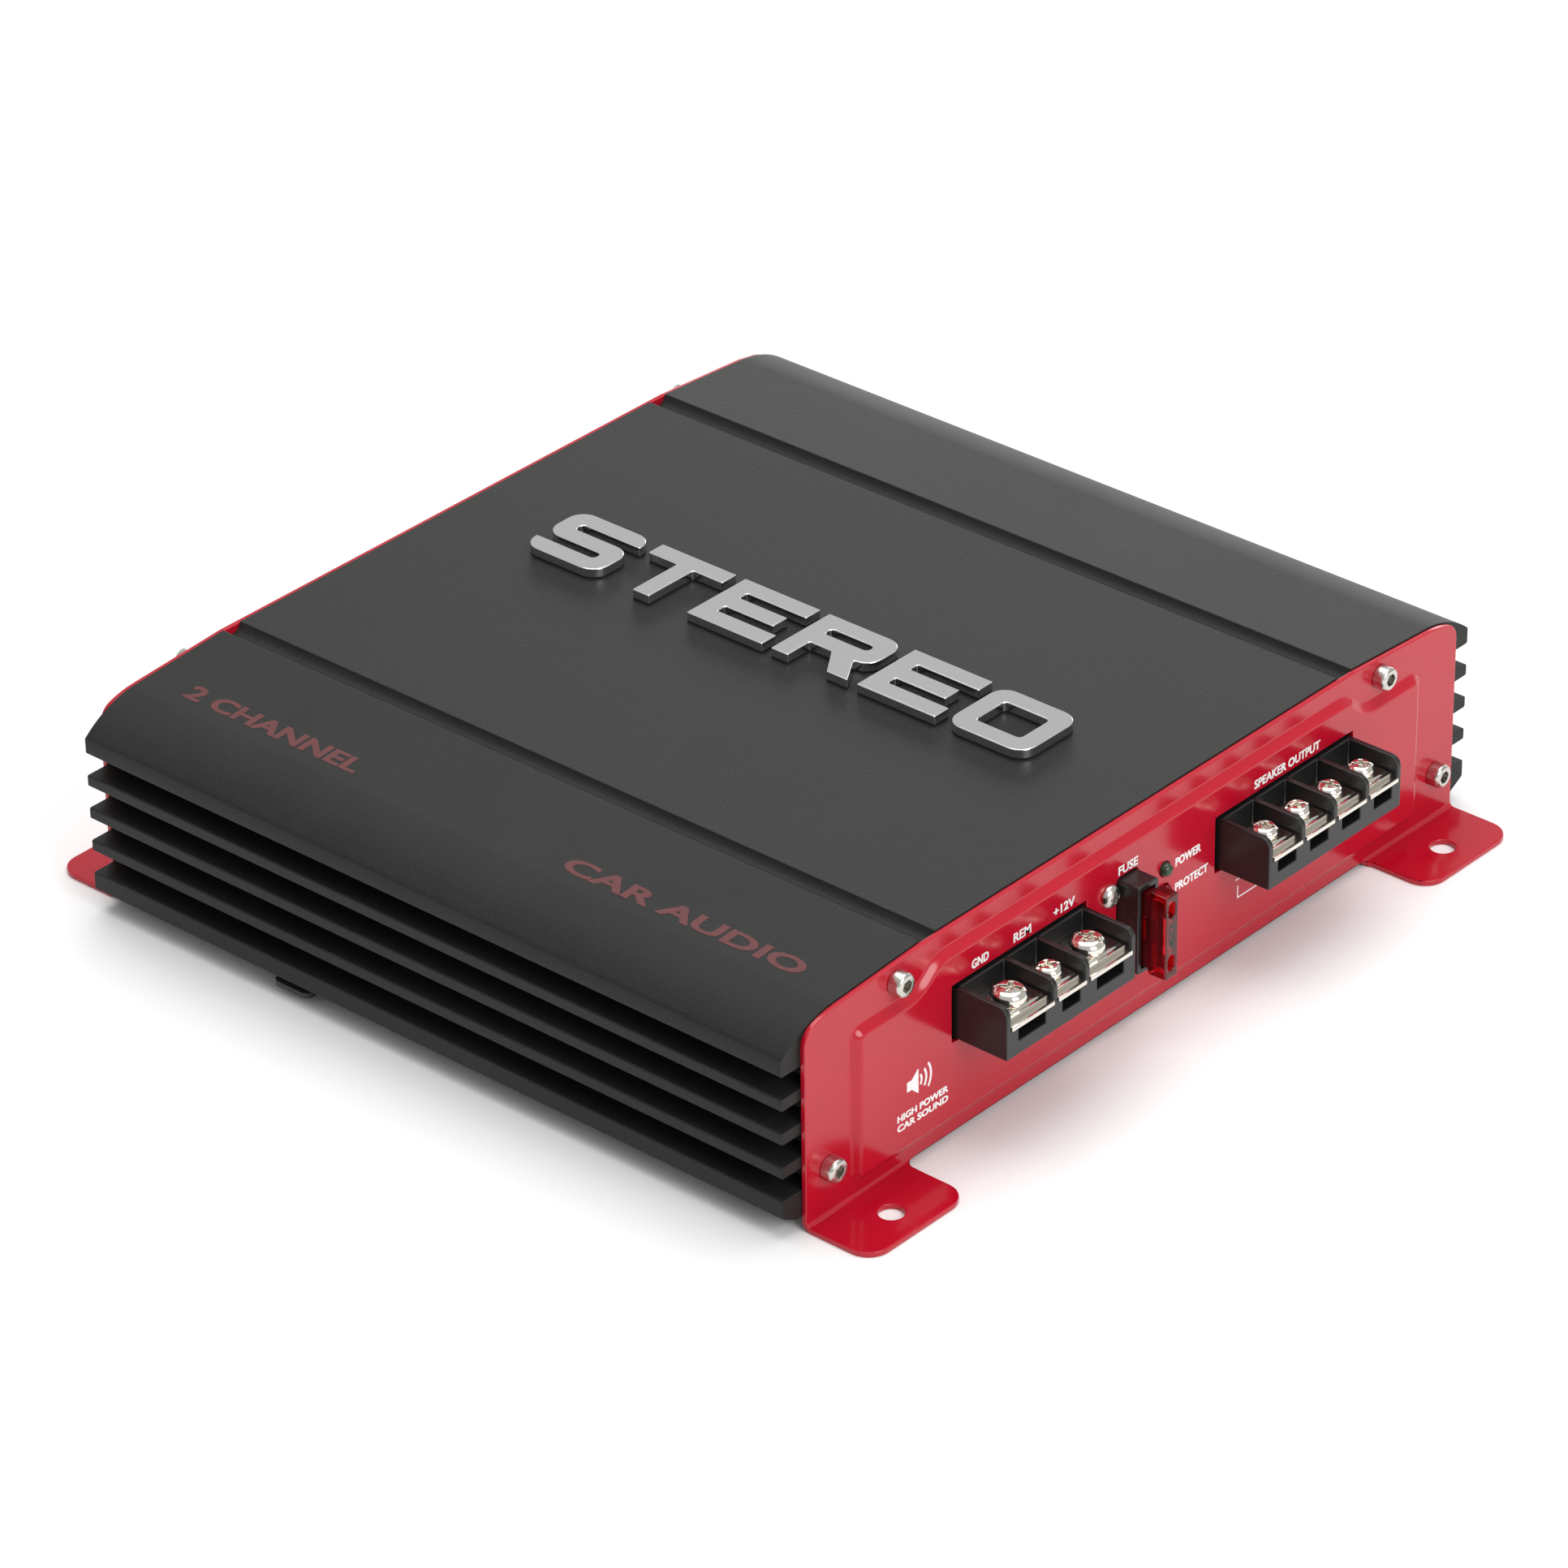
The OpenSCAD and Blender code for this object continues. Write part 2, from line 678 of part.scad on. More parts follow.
// ring core standing flat at p, with the rectangle [inner, outer] radius by height
module ring_core(p, r_in, r_out, h) {
    translate([p[0], p[1], board_top + 2]) difference() {
        cylinder(h = h, r = r_out);
        translate([0, 0, -1]) cylinder(h = h + 2, r = r_in);
    }
}

// copper layer round the same core, 2 mm thick, its edges rounded
module ring_winding(p, r_in, r_out, h) {
    w = r_out - r_in + 4;
    translate([p[0], p[1], board_top]) rotate_extrude() translate([r_in - 2, 0]) difference() {
        round_box(w, h + 4, 1.8);
        translate([2, 2]) square([w - 4, h]);
    }
}

module transformer_core() { color([0.3, 0.3, 0.28]) ring_core([28, 0], 10, 19, 14); }
module transformer_winding() { color([0.72, 0.4, 0.2]) ring_winding([28, 0], 10, 19, 14); }
module choke_core() { color([0.8, 0.75, 0.2]) ring_core([62, -42], 5, 10, 8); }
module choke_winding() { color([0.72, 0.4, 0.2]) ring_winding([62, -42], 5, 10, 8); }

// upright can with a rolled groove near its foot
module can(p, r, h) {
    translate([p[0], p[1], board_top]) rotate_extrude() difference() {
        union() {
            square([r - 0.6, h]);
            square([r, h - 0.6]);
            translate([r - 0.6, h - 0.6]) circle(r = 0.6);
        }
        translate([r + 0.3, 3]) circle(r = 0.8);
    }
}

module supply_capacitors() {
    color([0.1, 0.12, 0.3]) for (p = [[62, -14], [62, 4], [62, 22]]) can(p, 8, 20);
}

module rail_capacitors() {
    color([0.1, 0.12, 0.3]) for (x = [-16, -34], y = [-20, 20]) can([x, y], 6.3, 20);
}

// flat transistor case with its metal tab behind it, against the side wall
module power_transistors() {
    y0 = clamp_y;
    color([0.08, 0.08, 0.08]) both_sides() for (x = transistor_x) {
        span([x - 5, y0, transistor_z], [x + 5, wall_in_y - pad_t - 1.3, transistor_z + 15]);
        span([x - 5, wall_in_y - pad_t - 1.3, transistor_z], [x + 5, wall_in_y - pad_t, transistor_z + 16]);
        for (d = [-2.5, 0, 2.5])
            span([x + d - 0.4, y0 + 1.5, board_top], [x + d + 0.4, y0 + 2, transistor_z]);
    }
}

module insulator_pads() {
    color([0.85, 0.85, 0.8]) both_sides() for (x = transistor_x)
        span([x - 6, wall_in_y - pad_t, transistor_z - 1], [x + 6, wall_in_y, transistor_z + 17]);
}

module clamp_bars() {
    color([0.6, 0.6, 0.6]) both_sides() for (s = [-1, 1]) difference() {
        span([s > 0 ? 24 : -72, clamp_y - bar_t, bar_z], [s > 0 ? 72 : -24, clamp_y, bar_z + bar_h]);
        for (x = [s * 39, s * 57]) translate([x, clamp_y - bar_t - 1, bar_z + bar_h / 2])
            rotate([-90, 0, 0]) cylinder(h = 4, r = 1.6);
    }
}

module clamp_bar_screws() {
    color([0.75, 0.73, 0.7]) both_sides() for (x = bar_screw_x)
        translate([x, clamp_y - bar_t, bar_z + bar_h / 2]) {
            rotate([90, 0, 0]) difference() {
                cylinder(h = 1.8, r = 2.7);
                for (a = [0, 90]) rotate([0, 0, a]) translate([-1.5, -0.3, 0.9]) cube([3, 0.6, 2]);
            }
            rotate([-90, 0, 0]) cylinder(h = bar_t + transistor_t + pad_t + 3, r = 1.25);
        }
}

module signal_chips() {
    color([0.08, 0.08, 0.08]) for (x = [-66, -52], y = [-20, 0, 20])
        span([x - 3.2, y - 4.8, board_top], [x + 3.2, y + 4.8, board_top + 3.6]);
}

// ---- input end ----

module phono_jack_block() {
    y0 = jack_y[0] - 8;
    y1 = jack_y[1] + 8;
    color([0.07, 0.07, 0.07]) difference() {
        span([-sink_x + 0.2, y0, board_top], [-sink_x + 11, y1, jack_z + 8]);
        for (y = jack_y) rod_x(-sink_x - 1, -sink_x + 8, y, jack_z, 4.2);
        rod_x(-sink_x - 1, -sink_x + 6, jack_screw[0], jack_screw[1], 1.5);
    }
}

module phono_jack_screw() {
    color([0.75, 0.73, 0.7]) at_input_end() panel_screw(jack_screw);
}

// plated barrel with a shoulder against the block
module phono_jack_shells() {
    color([0.8, 0.72, 0.4]) for (y = jack_y) difference() {
        union() {
            rod_x(-panel_x - 9.5, -sink_x + 8, y, jack_z, 4.15);
            rod_x(-sink_x - 1.2, -sink_x + 0.2, y, jack_z, 5);
        }
        rod_x(-panel_x - 10, -sink_x + 9, y, jack_z, 3.4);
    }
}

module phono_jack_inserts() {
    color([0.85, 0.85, 0.85]) for (y = jack_y) difference() {
        rod_x(-panel_x - 8, -sink_x + 8, y, jack_z, 3.4);
        rod_x(-panel_x - 9, -sink_x + 4, y, jack_z, 1.7);
    }
}

module control_potentiometers() {
    color([0.15, 0.15, 0.16]) for (y = knob_y) difference() {
        union() {
            span([-sink_x + 1, y - 5.5, board_top], [-sink_x + 10.5, y + 5.5, knob_z + 6]);
            rod_x(-sink_x - 1, -sink_x + 2, y, knob_z, 3);
        }
        rod_x(-sink_x - 2, -sink_x + 8, y, knob_z, 1.55);
    }
}

// ribbed knob with a pointer groove, in one piece with its shaft
module knob(y) {
    r = knob_d / 2;
    color([0.1, 0.1, 0.1]) translate([control_x - 1, y, knob_z]) difference() {
        union() {
            rotate([0, -90, 0]) cylinder(h = 8, r = r);
            rotate([0, 90, 0]) cylinder(h = 7, r = 1.5);
        }
        for (i = [0 : 11]) rotate([i * 30, 0, 0]) rod_x(-9, -1.5, 0, r + 0.5, 0.8);
        translate([-9, -0.5, 1]) cube([1.6, 1, r]);
    }
}

module gain_knob() { knob(knob_y[0]); }
module bass_knob() { knob(knob_y[1]); }
module crossover_knob() { knob(knob_y[2]); }

module crossover_switch() {
    color([0.3, 0.3, 0.32]) difference() {
        span([-sink_x + 0.6, switch_y - 7, board_top], [-sink_x + 7, switch_y + 7, switch_z + 4]);
        span([-sink_x, switch_y - 4.6, switch_z - 1.7], [-sink_x + 4, switch_y + 4.6, switch_z + 1.7]);
    }
}

module crossover_slider() {
    half = 4.5 - switch_travel;
    color([0.85, 0.85, 0.83]) {
        span([-sink_x + 0.8, switch_y - half, switch_z - 1.6], [-sink_x + 3.9, switch_y + half, switch_z + 1.6]);
        span([-panel_x - 2, switch_y - 1.4, switch_z - 1.5], [-sink_x + 1, switch_y + 1.4, switch_z + 1.5]);
    }
}

// ---- badge: plain block letters built from straight strokes and rounded rings ----

// a straight stroke, and a rounded ring, both h tall
module bar(x, y, w, d, h) {
    translate([x, y, 0]) cube([w, d, h]);
}

module ring(w, d, h) {
    difference() {
        linear_extrude(h) round_box(w, d, 4);
        translate([stroke, stroke, -1]) linear_extrude(h + 2)
            round_box(w - 2 * stroke, d - 2 * stroke, 1);
    }
}

// one letter h tall, from the origin
module letter(name, h) {
    lobe = (letter_h + stroke) / 2;
    step = letter_h - lobe;
    gap = lobe - 2 * stroke;
    if (name == "S") {
        difference() {
            translate([0, step, 0]) ring(letter_w, lobe, h);
            bar(letter_w - stroke - 1, lobe, stroke + 2, gap, 3 * h);
        }
        difference() {
            ring(letter_w, lobe, h);
            bar(-1, stroke, stroke + 2, gap, 3 * h);
        }
    }
    if (name == "T") {
        bar(0, letter_h - stroke, letter_w, stroke, h);
        bar((letter_w - stroke) / 2, 0, stroke, letter_h - 1, h);
    }
    if (name == "E") {
        bar(0, 0, stroke, letter_h, h);
        for (y = [0, letter_h - stroke]) bar(1, y, letter_w - 1, stroke, h);
        bar(1, step, letter_w - 4, stroke, h);
    }
    if (name == "R") {
        bar(0, 0, stroke, letter_h - 4, h);
        translate([0, step, 0]) ring(letter_w, lobe, h);
        for (y = [step, letter_h - 4.2]) bar(0, y, 4.2, 4.2, h);
        linear_extrude(h) polygon([[letter_w - stroke - 7, step + 2],
            [letter_w - stroke - 1, step + 2], [letter_w, 0], [letter_w - stroke - 1, 0]]);
    }
    if (name == "O") ring(letter_w, letter_h, h);
}

module badge(h) {
    total = len(badge_word) * letter_w + (len(badge_word) - 1) * letter_gap;
    for (i = [0 : len(badge_word) - 1])
        translate([badge_mid[0] - total / 2 + i * (letter_w + letter_gap),
            badge_mid[1] - letter_h / 2, 0]) letter(badge_word[i], h);
}

module badge_adhesive() {
    color([0.02, 0.02, 0.02]) translate([0, 0, sink_top_z]) badge(tape_t);
}

module badge_letters() {
    color([0.8, 0.8, 0.8]) translate([0, 0, sink_top_z + tape_t]) badge(letter_t);
}

heatsink();
bottom_cover();
bottom_cover_screws();
terminal_end_plate();
input_end_plate();
terminal_plate_screws();
input_plate_screws();
power_terminal_block();
power_contact_plates();
speaker_terminal_block();
speaker_contact_plates();
ground_screw();
ground_clamp();
remote_screw();
remote_clamp();
positive_screw();
positive_clamp();
speaker_screw(0);  // speaker_screw_1
speaker_clamp(0);  // speaker_clamp_1
speaker_screw(1);  // speaker_screw_2
speaker_clamp(1);  // speaker_clamp_2
speaker_screw(2);  // speaker_screw_3
speaker_clamp(2);  // speaker_clamp_3
speaker_screw(3);  // speaker_screw_4
speaker_clamp(3);  // speaker_clamp_4
fuse_holder();
fuse_holder_screw();
fuse_body();
fuse_element();
power_led();
protect_led();
circuit_board();
board_standoffs();
board_screws();
transformer_core();
transformer_winding();
choke_core();
choke_winding();
supply_capacitors();
rail_capacitors();
power_transistors();
insulator_pads();
clamp_bars();
clamp_bar_screws();
signal_chips();
phono_jack_block();
phono_jack_shells();
phono_jack_inserts();
phono_jack_screw();
control_potentiometers();
gain_knob();
bass_knob();
crossover_knob();
crossover_switch();
crossover_slider();
badge_adhesive();
badge_letters();
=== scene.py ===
"""Visual model of a two-channel car amplifier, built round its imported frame.

A finned housing with folded red end plates, screw terminals, a blade fuse and
lamps at one end, and signal jacks, knobs and a switch at the other.
"""

from __future__ import annotations

import logging
import math
from dataclasses import dataclass
from enum import Enum
from typing import Any, Callable, Iterable, Mapping, Sequence

import bmesh
import bpy
from mathutils import Matrix, Vector


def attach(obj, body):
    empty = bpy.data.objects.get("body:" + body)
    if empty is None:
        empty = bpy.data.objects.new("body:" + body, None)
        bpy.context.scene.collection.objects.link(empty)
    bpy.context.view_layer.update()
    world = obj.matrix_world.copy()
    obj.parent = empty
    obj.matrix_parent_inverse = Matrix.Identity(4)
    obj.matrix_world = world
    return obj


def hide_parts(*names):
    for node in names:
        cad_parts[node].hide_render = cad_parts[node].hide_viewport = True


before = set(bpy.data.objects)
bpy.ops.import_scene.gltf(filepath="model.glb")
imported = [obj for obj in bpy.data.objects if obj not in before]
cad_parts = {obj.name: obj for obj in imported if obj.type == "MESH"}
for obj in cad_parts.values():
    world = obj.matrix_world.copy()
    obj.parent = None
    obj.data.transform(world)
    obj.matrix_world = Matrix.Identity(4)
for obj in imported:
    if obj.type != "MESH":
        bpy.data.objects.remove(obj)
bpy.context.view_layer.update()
LOG = logging.getLogger("amplifier")
MM = 0.001
BODY = "housing"

Point2 = tuple[float, float]
Point3 = tuple[float, float, float]
Colour = tuple[float, float, float]


# ---------------------------------------------------------------- shader maths


class Socket:
    """A node's output that can stand in a Python expression."""

    def __init__(self, graph: "Graph", out: bpy.types.NodeSocket) -> None:
        """Keeps the graph and the output it wraps.

        Args:
            graph: the graph that new Math nodes are added to.
            out: the wrapped output.
        """
        self.graph = graph
        self.out = out

    def _math(self, operation: str, first: Any, second: Any) -> "Socket":
        """Adds one Math node.

        Args:
            operation: the node's operation.
            first: value or Socket of its first input.
            second: value or Socket of its second input.

        Returns:
            The node's output.
        """
        return self.graph.add(
            "ShaderNodeMath", {"operation": operation}, {0: first, 1: second}
        )

    def __add__(self, other: Any) -> "Socket":
        """Adds a value."""
        return self._math("ADD", self, other)

    __radd__ = __add__

    def __mul__(self, other: Any) -> "Socket":
        """Multiplies by a value."""
        return self._math("MULTIPLY", self, other)

    __rmul__ = __mul__

    def __sub__(self, other: Any) -> "Socket":
        """Takes a value away."""
        return self._math("SUBTRACT", self, other)

    def __rsub__(self, other: Any) -> "Socket":
        """Is taken away from a value."""
        return self._math("SUBTRACT", other, self)

    def __truediv__(self, other: Any) -> "Socket":
        """Divides by a value."""
        return self._math("DIVIDE", self, other)

    def __pow__(self, other: Any) -> "Socket":
        """Raises to a power."""
        return self._math("POWER", self, other)

    def above(self, limit: Any) -> "Socket":
        """1 where the value is greater than the limit, otherwise 0."""
        return self._math("GREATER_THAN", self, limit)

    def absolute(self) -> "Socket":
        """The value without its sign."""
        return self._math("ABSOLUTE", self, 0.0)

    def sine(self) -> "Socket":
        """The sine of the value."""
        return self._math("SINE", self, 0.0)


class Graph:
    """One material and the nodes in it."""

    def __init__(self, name: str) -> None:
        """Starts an empty node tree.

        Args:
            name: the material's name.
        """
        self.material = bpy.data.materials.new(name)
        self.material.use_nodes = True
        self.tree = self.material.node_tree
        self.tree.nodes.clear()

    def add(
        self,
        kind: str,
        settings: Mapping[str, Any] | None = None,
        sockets: Mapping[int | str, Any] | None = None,
        out: int | str = 0,
    ) -> Socket:
        """Adds a node, sets it and fills its inputs.

        Args:
            kind: the node's type.
            settings: its properties; "stops" gives a ramp's positions and colours.
            sockets: values or Sockets for its inputs.
            out: which output to hand back.

        Returns:
            The chosen output.
        """
        node = self.tree.nodes.new(kind)
        for key, value in (settings or {}).items():
            if key == "stops":
                ramp = node.color_ramp
                while len(ramp.elements) < len(value):
                    ramp.elements.new(0.5)
                for element, (place, colour) in zip(ramp.elements, value):
                    element.position = place
                    element.color = (*colour, 1.0)
            else:
                setattr(node, key, value)
        for key, value in (sockets or {}).items():
            if isinstance(value, Socket):
                self.tree.links.new(value.out, node.inputs[key])
            else:
                node.inputs[key].default_value = value
        return Socket(self, node.outputs[out]) if node.outputs else Socket(self, None)

    def place(self, scale: Point3 = (1.0, 1.0, 1.0)) -> Socket:
        """Object coordinates, stretched.

        Args:
            scale: factor along each axis.

        Returns:
            The coordinates.
        """
        here = self.add("ShaderNodeTexCoord", out="Object")
        return self.add("ShaderNodeMapping", {}, {"Vector": here, "Scale": scale})

    def noise(
        self,
        size_mm: float,
        detail: float = 2.0,
        rough: float = 0.5,
        stretch: Point3 = (1.0, 1.0, 1.0),
    ) -> Socket:
        """Soft noise with blobs of a given size.

        Args:
            size_mm: size of a blob.
            detail: finer layers on top.
            rough: strength of the finer layers.
            stretch: factor along each axis, for a drawn-out grain.

        Returns:
            A value round 0.5.
        """
        return self.add(
            "ShaderNodeTexNoise",
            {"noise_dimensions": "3D"},
            {
                "Vector": self.place(stretch),
                "Scale": 1.0 / (size_mm * MM),
                "Detail": detail,
                "Roughness": rough,
            },
            "Fac",
        )

    def mix(self, factor: Any, first: Any, second: Any) -> Socket:
        """Mixes two colours.

        Args:
            factor: 0 gives the first, 1 the second.
            first: colour or Socket.
            second: colour or Socket.

        Returns:
            The mixed colour.
        """
        pair = [c if isinstance(c, Socket) else (*c, 1.0) for c in (first, second)]
        return self.add(
            "ShaderNodeMix",
            {"data_type": "RGBA"},
            {0: factor, 6: pair[0], 7: pair[1]},
            2,
        )

    def limited(self, value: Socket, low: float, high: float) -> Socket:
        """Maps a value round 0.5 onto a range.

        Args:
            value: the value, mostly between 0.3 and 0.7.
            low: result at 0.3.
            high: result at 0.7.

        Returns:
            The mapped value, held within the range.
        """
        return self.add(
            "ShaderNodeMapRange",
            {"clamp": True},
            {0: value, 1: 0.3, 2: 0.7, 3: low, 4: high},
        )

    def bump(self, height: Socket, depth_mm: float, strength: float = 1.0) -> Socket:
        """A bumped normal.

        Args:
            height: the height pattern.
            depth_mm: depth of a full step of it.
            strength: share of it that shows.

        Returns:
            The normal.
        """
        return self.add(
            "ShaderNodeBump",
            {},
            {"Height": height, "Distance": depth_mm * MM, "Strength": strength},
        )

    def shade(self, sockets: Mapping[str, Any]) -> bpy.types.Material:
        """Ends the graph in a Principled shader.

        Args:
            sockets: values or Sockets for the shader.

        Returns:
            The finished material.
        """
        shader = self.add("ShaderNodeBsdfPrincipled", {}, sockets)
        self.add("ShaderNodeOutputMaterial", {}, {"Surface": shader})
        return self.material


# ------------------------------------------------------------------- finishes


@dataclass(frozen=True)
class Finish:
    """A surface with a mottled colour, an uneven gloss and a fine relief."""

    name: str
    slot: str
    colour: Colour
    second: Colour
    roughness: float = 0.4
    uneven: float = 0.06
    mottle_mm: float = 6.0
    grain_mm: float = 0.3
    relief_mm: float = 0.01
    metallic: float = 0.0
    coat: float = 0.0
    coat_roughness: float = 0.1
    transmission: float = 0.0
    ior: float = 1.5
    specular: float = 0.5
    stretch: Point3 = (1.0, 1.0, 1.0)
    glow: float = 0.0

    def pattern(self, graph: Graph) -> tuple[Any, Any, Any]:
        """Colour, roughness and normal of the surface.

        Args:
            graph: the graph to build in.

        Returns:
            The three sockets.
        """
        cloud = graph.noise(self.mottle_mm, 3.0, 0.6, self.stretch)
        grain = graph.noise(self.grain_mm, 2.0, 0.55, self.stretch)
        blend = graph.limited(cloud * 0.6 + grain * 0.4, 0.0, 1.0)
        colour = graph.mix(blend, self.colour, self.second)
        rough = graph.limited(
            cloud * 0.5 + grain * 0.5,
            max(0.02, self.roughness - self.uneven),
            self.roughness + self.uneven,
        )
        return colour, rough, graph.bump(grain, self.relief_mm)

    def material(self) -> bpy.types.Material:
        """Builds the material once and hands it back after that.

        Returns:
            The material.
        """
        ready = bpy.data.materials.get(self.name)
        if ready is not None:
            return ready
        graph = Graph(self.name)
        colour, rough, normal = self.pattern(graph)
        sockets: dict[str, Any] = {
            "Base Color": colour,
            "Roughness": rough,
            "Normal": normal,
            "Metallic": self.metallic,
            "Coat Weight": self.coat,
            "Coat Roughness": self.coat_roughness,
            "Transmission Weight": self.transmission,
            "IOR": self.ior,
            "Specular IOR Level": self.specular,
        }
        if self.glow:
            sockets["Emission Color"] = (*self.colour, 1.0)
            sockets["Emission Strength"] = self.glow
        return graph.shade(sockets)


@dataclass(frozen=True)
class PowderCoat(Finish):
    """Fine textured powder coat: tight pebbles, a few paler grains."""

    fleck: Colour = (0.1, 0.1, 0.1)

    def pattern(self, graph: Graph) -> tuple[Any, Any, Any]:
        """Pebbled colour, gloss and relief.

        Args:
            graph: the graph to build in.

        Returns:
            The three sockets.
        """
        pebble = graph.add(
            "ShaderNodeTexVoronoi",
            {"feature": "SMOOTH_F1"},
            {"Vector": graph.place(), "Scale": 1.0 / (self.grain_mm * MM)},
            "Distance",
        )
        cloud = graph.noise(self.mottle_mm, 3.0, 0.6)
        fine = graph.noise(self.grain_mm * 0.7, 2.0, 0.6)
        base = graph.mix(graph.limited(cloud, 0.0, 1.0), self.colour, self.second)
        speck = graph.limited(fine - 0.16, 0.0, 0.5)
        colour = graph.mix(speck, base, self.fleck)
        rough = graph.limited(
            fine * 0.6 + cloud * 0.4,
            self.roughness - self.uneven,
            self.roughness + self.uneven,
        )
        height = pebble * 0.6 + fine * 0.4
        return colour, rough, graph.bump(height, self.relief_mm)


@dataclass(frozen=True)
class GlossPaint(Finish):
    """Smooth gloss paint with a slow orange peel and faint specks."""

    peel_mm: float = 1.6

    def pattern(self, graph: Graph) -> tuple[Any, Any, Any]:
        """Colour, gloss and orange peel.

        Args:
            graph: the graph to build in.

        Returns:
            The three sockets.
        """
        cloud = graph.noise(self.mottle_mm, 2.0, 0.5)
        peel = graph.noise(self.peel_mm, 1.0, 0.4)
        speck = graph.noise(self.grain_mm, 2.0, 0.6)
        blend = graph.limited(cloud * 0.8 + speck * 0.2, 0.0, 1.0)
        colour = graph.mix(blend, self.colour, self.second)
        rough = graph.limited(
            cloud * 0.5 + speck * 0.5,
            self.roughness - self.uneven,
            self.roughness + self.uneven,
        )
        height = peel * 0.85 + speck * 0.15
        return colour, rough, graph.bump(height, self.relief_mm)


@dataclass(frozen=True)
class PlatedMetal(Finish):
    """Plated metal: fine drawn lines and soft stains."""

    def pattern(self, graph: Graph) -> tuple[Any, Any, Any]:
        """Colour, gloss and fine lines.

        Args:
            graph: the graph to build in.

        Returns:
            The three sockets.
        """
        lines = graph.noise(self.grain_mm, 3.0, 0.7, self.stretch)
        stain = graph.noise(self.mottle_mm, 3.0, 0.6)
        blend = graph.limited(stain * 0.7 + lines * 0.3, 0.0, 1.0)
        colour = graph.mix(blend, self.colour, self.second)
        rough = graph.limited(
            stain * 0.4 + lines * 0.6,
            max(0.02, self.roughness - self.uneven),
            self.roughness + self.uneven,
        )
        return colour, rough, graph.bump(lines, self.relief_mm)


@dataclass(frozen=True)
class BadgePlate(Finish):
    """Satin where it faces up, mirror bright down its sides, whose colour is darkened as painted
    shade.
    """

    # painted shade: the colour given to the letters' sides, darker than their tops
    side: Colour = (0.25, 0.25, 0.26)

    def pattern(self, graph: Graph) -> tuple[Any, Any, Any]:
        """Satin top and polished sides, the sides darkened in colour as painted shade.

        Args:
            graph: the graph to build in.

        Returns:
            The three sockets.
        """
        facing = graph.add("ShaderNodeNewGeometry", out="True Normal")
        upward = graph.add("ShaderNodeSeparateXYZ", {}, {0: facing}, "Z").above(0.85)
        lines = graph.noise(self.grain_mm, 3.0, 0.7, self.stretch)
        cloud = graph.noise(self.mottle_mm, 2.0, 0.5)
        top = graph.mix(
            graph.limited(cloud * 0.6 + lines * 0.4, 0.0, 1.0), self.colour, self.second
        )
        # painted shade: faces that don't point up take the darker side colour
        colour = graph.mix(upward, self.side, top)
        satin = graph.limited(
            lines, self.roughness - self.uneven, self.roughness + self.uneven
        )
        rough = satin * upward + 0.07 * (1.0 - upward)
        return colour, rough, graph.bump(lines, self.relief_mm)


@dataclass(frozen=True)
class WoundWire(Finish):
    """Turns of round wire laid side by side round a ring."""

    turns: float = 60.0
    centre: Point2 = (0.0, 0.0)

    def pattern(self, graph: Graph) -> tuple[Any, Any, Any]:
        """Turns that run across the ring, with painted shade in the gaps between them.

        Args:
            graph: the graph to build in.

        Returns:
            The three sockets.
        """
        here = graph.add("ShaderNodeTexCoord", out="Object")
        parts = graph.add(
            "ShaderNodeMapping",
            {},
            {
                "Vector": here,
                "Location": (-self.centre[0] * MM, -self.centre[1] * MM, 0.0),
            },
        )
        x = graph.add("ShaderNodeSeparateXYZ", {}, {0: parts}, "X")
        y = graph.add("ShaderNodeSeparateXYZ", {}, {0: parts}, "Y")
        angle = graph.add("ShaderNodeMath", {"operation": "ARCTAN2"}, {0: y, 1: x})
        wave = (angle * self.turns * 0.5).sine().absolute()
        cloud = graph.noise(self.mottle_mm, 3.0, 0.6)
        # painted shade: the colour falls to a quarter in the gaps between the turns
        gap_shaded_turns = graph.mix(
            graph.limited(wave * 0.5 + 0.1, 0.0, 1.0),
            tuple(c * 0.25 for c in self.colour),
            self.colour,
        )
        colour = graph.mix(cloud * 0.5, gap_shaded_turns, self.second)
        rough = graph.limited(
            cloud, self.roughness - self.uneven, self.roughness + self.uneven
        )
        return colour, rough, graph.bump(wave, self.relief_mm)


@dataclass(frozen=True)
class BoardLacquer(Finish):
    """Green lacquer over copper tracks, with small tinned pads."""

    track: Colour = (0.08, 0.3, 0.12)
    pad: Colour = (0.6, 0.58, 0.5)

    def pattern(self, graph: Graph) -> tuple[Any, Any, Any]:
        """Tracks, pads and lacquer.

        Args:
            graph: the graph to build in.

        Returns:
            The three sockets.
        """
        flat = graph.place((1.0, 1.0, 0.0))
        runs = graph.add(
            "ShaderNodeTexBrick",
            {"offset": 0.5},
            {
                "Vector": flat,
                "Scale": 1.0,
                "Mortar Size": 0.0005,
                "Brick Width": 0.0112,
                "Row Height": 0.0038,
            },
            "Fac",
        )
        cells = graph.add(
            "ShaderNodeTexVoronoi",
            {"feature": "F1"},
            {"Vector": flat, "Scale": 180.0, "Randomness": 0.35},
            "Distance",
        )
        dots = 1.0 - cells.above(0.13)
        cloud = graph.noise(self.mottle_mm, 2.0, 0.5)
        base = graph.mix(graph.limited(cloud, 0.0, 1.0), self.colour, self.second)
        lined = graph.mix(runs, base, self.track)
        colour = graph.mix(dots, lined, self.pad)
        rough = graph.limited(
            cloud, self.roughness - self.uneven, self.roughness + self.uneven
        )
        return colour, rough, graph.bump(runs * 0.5 + dots, self.relief_mm)


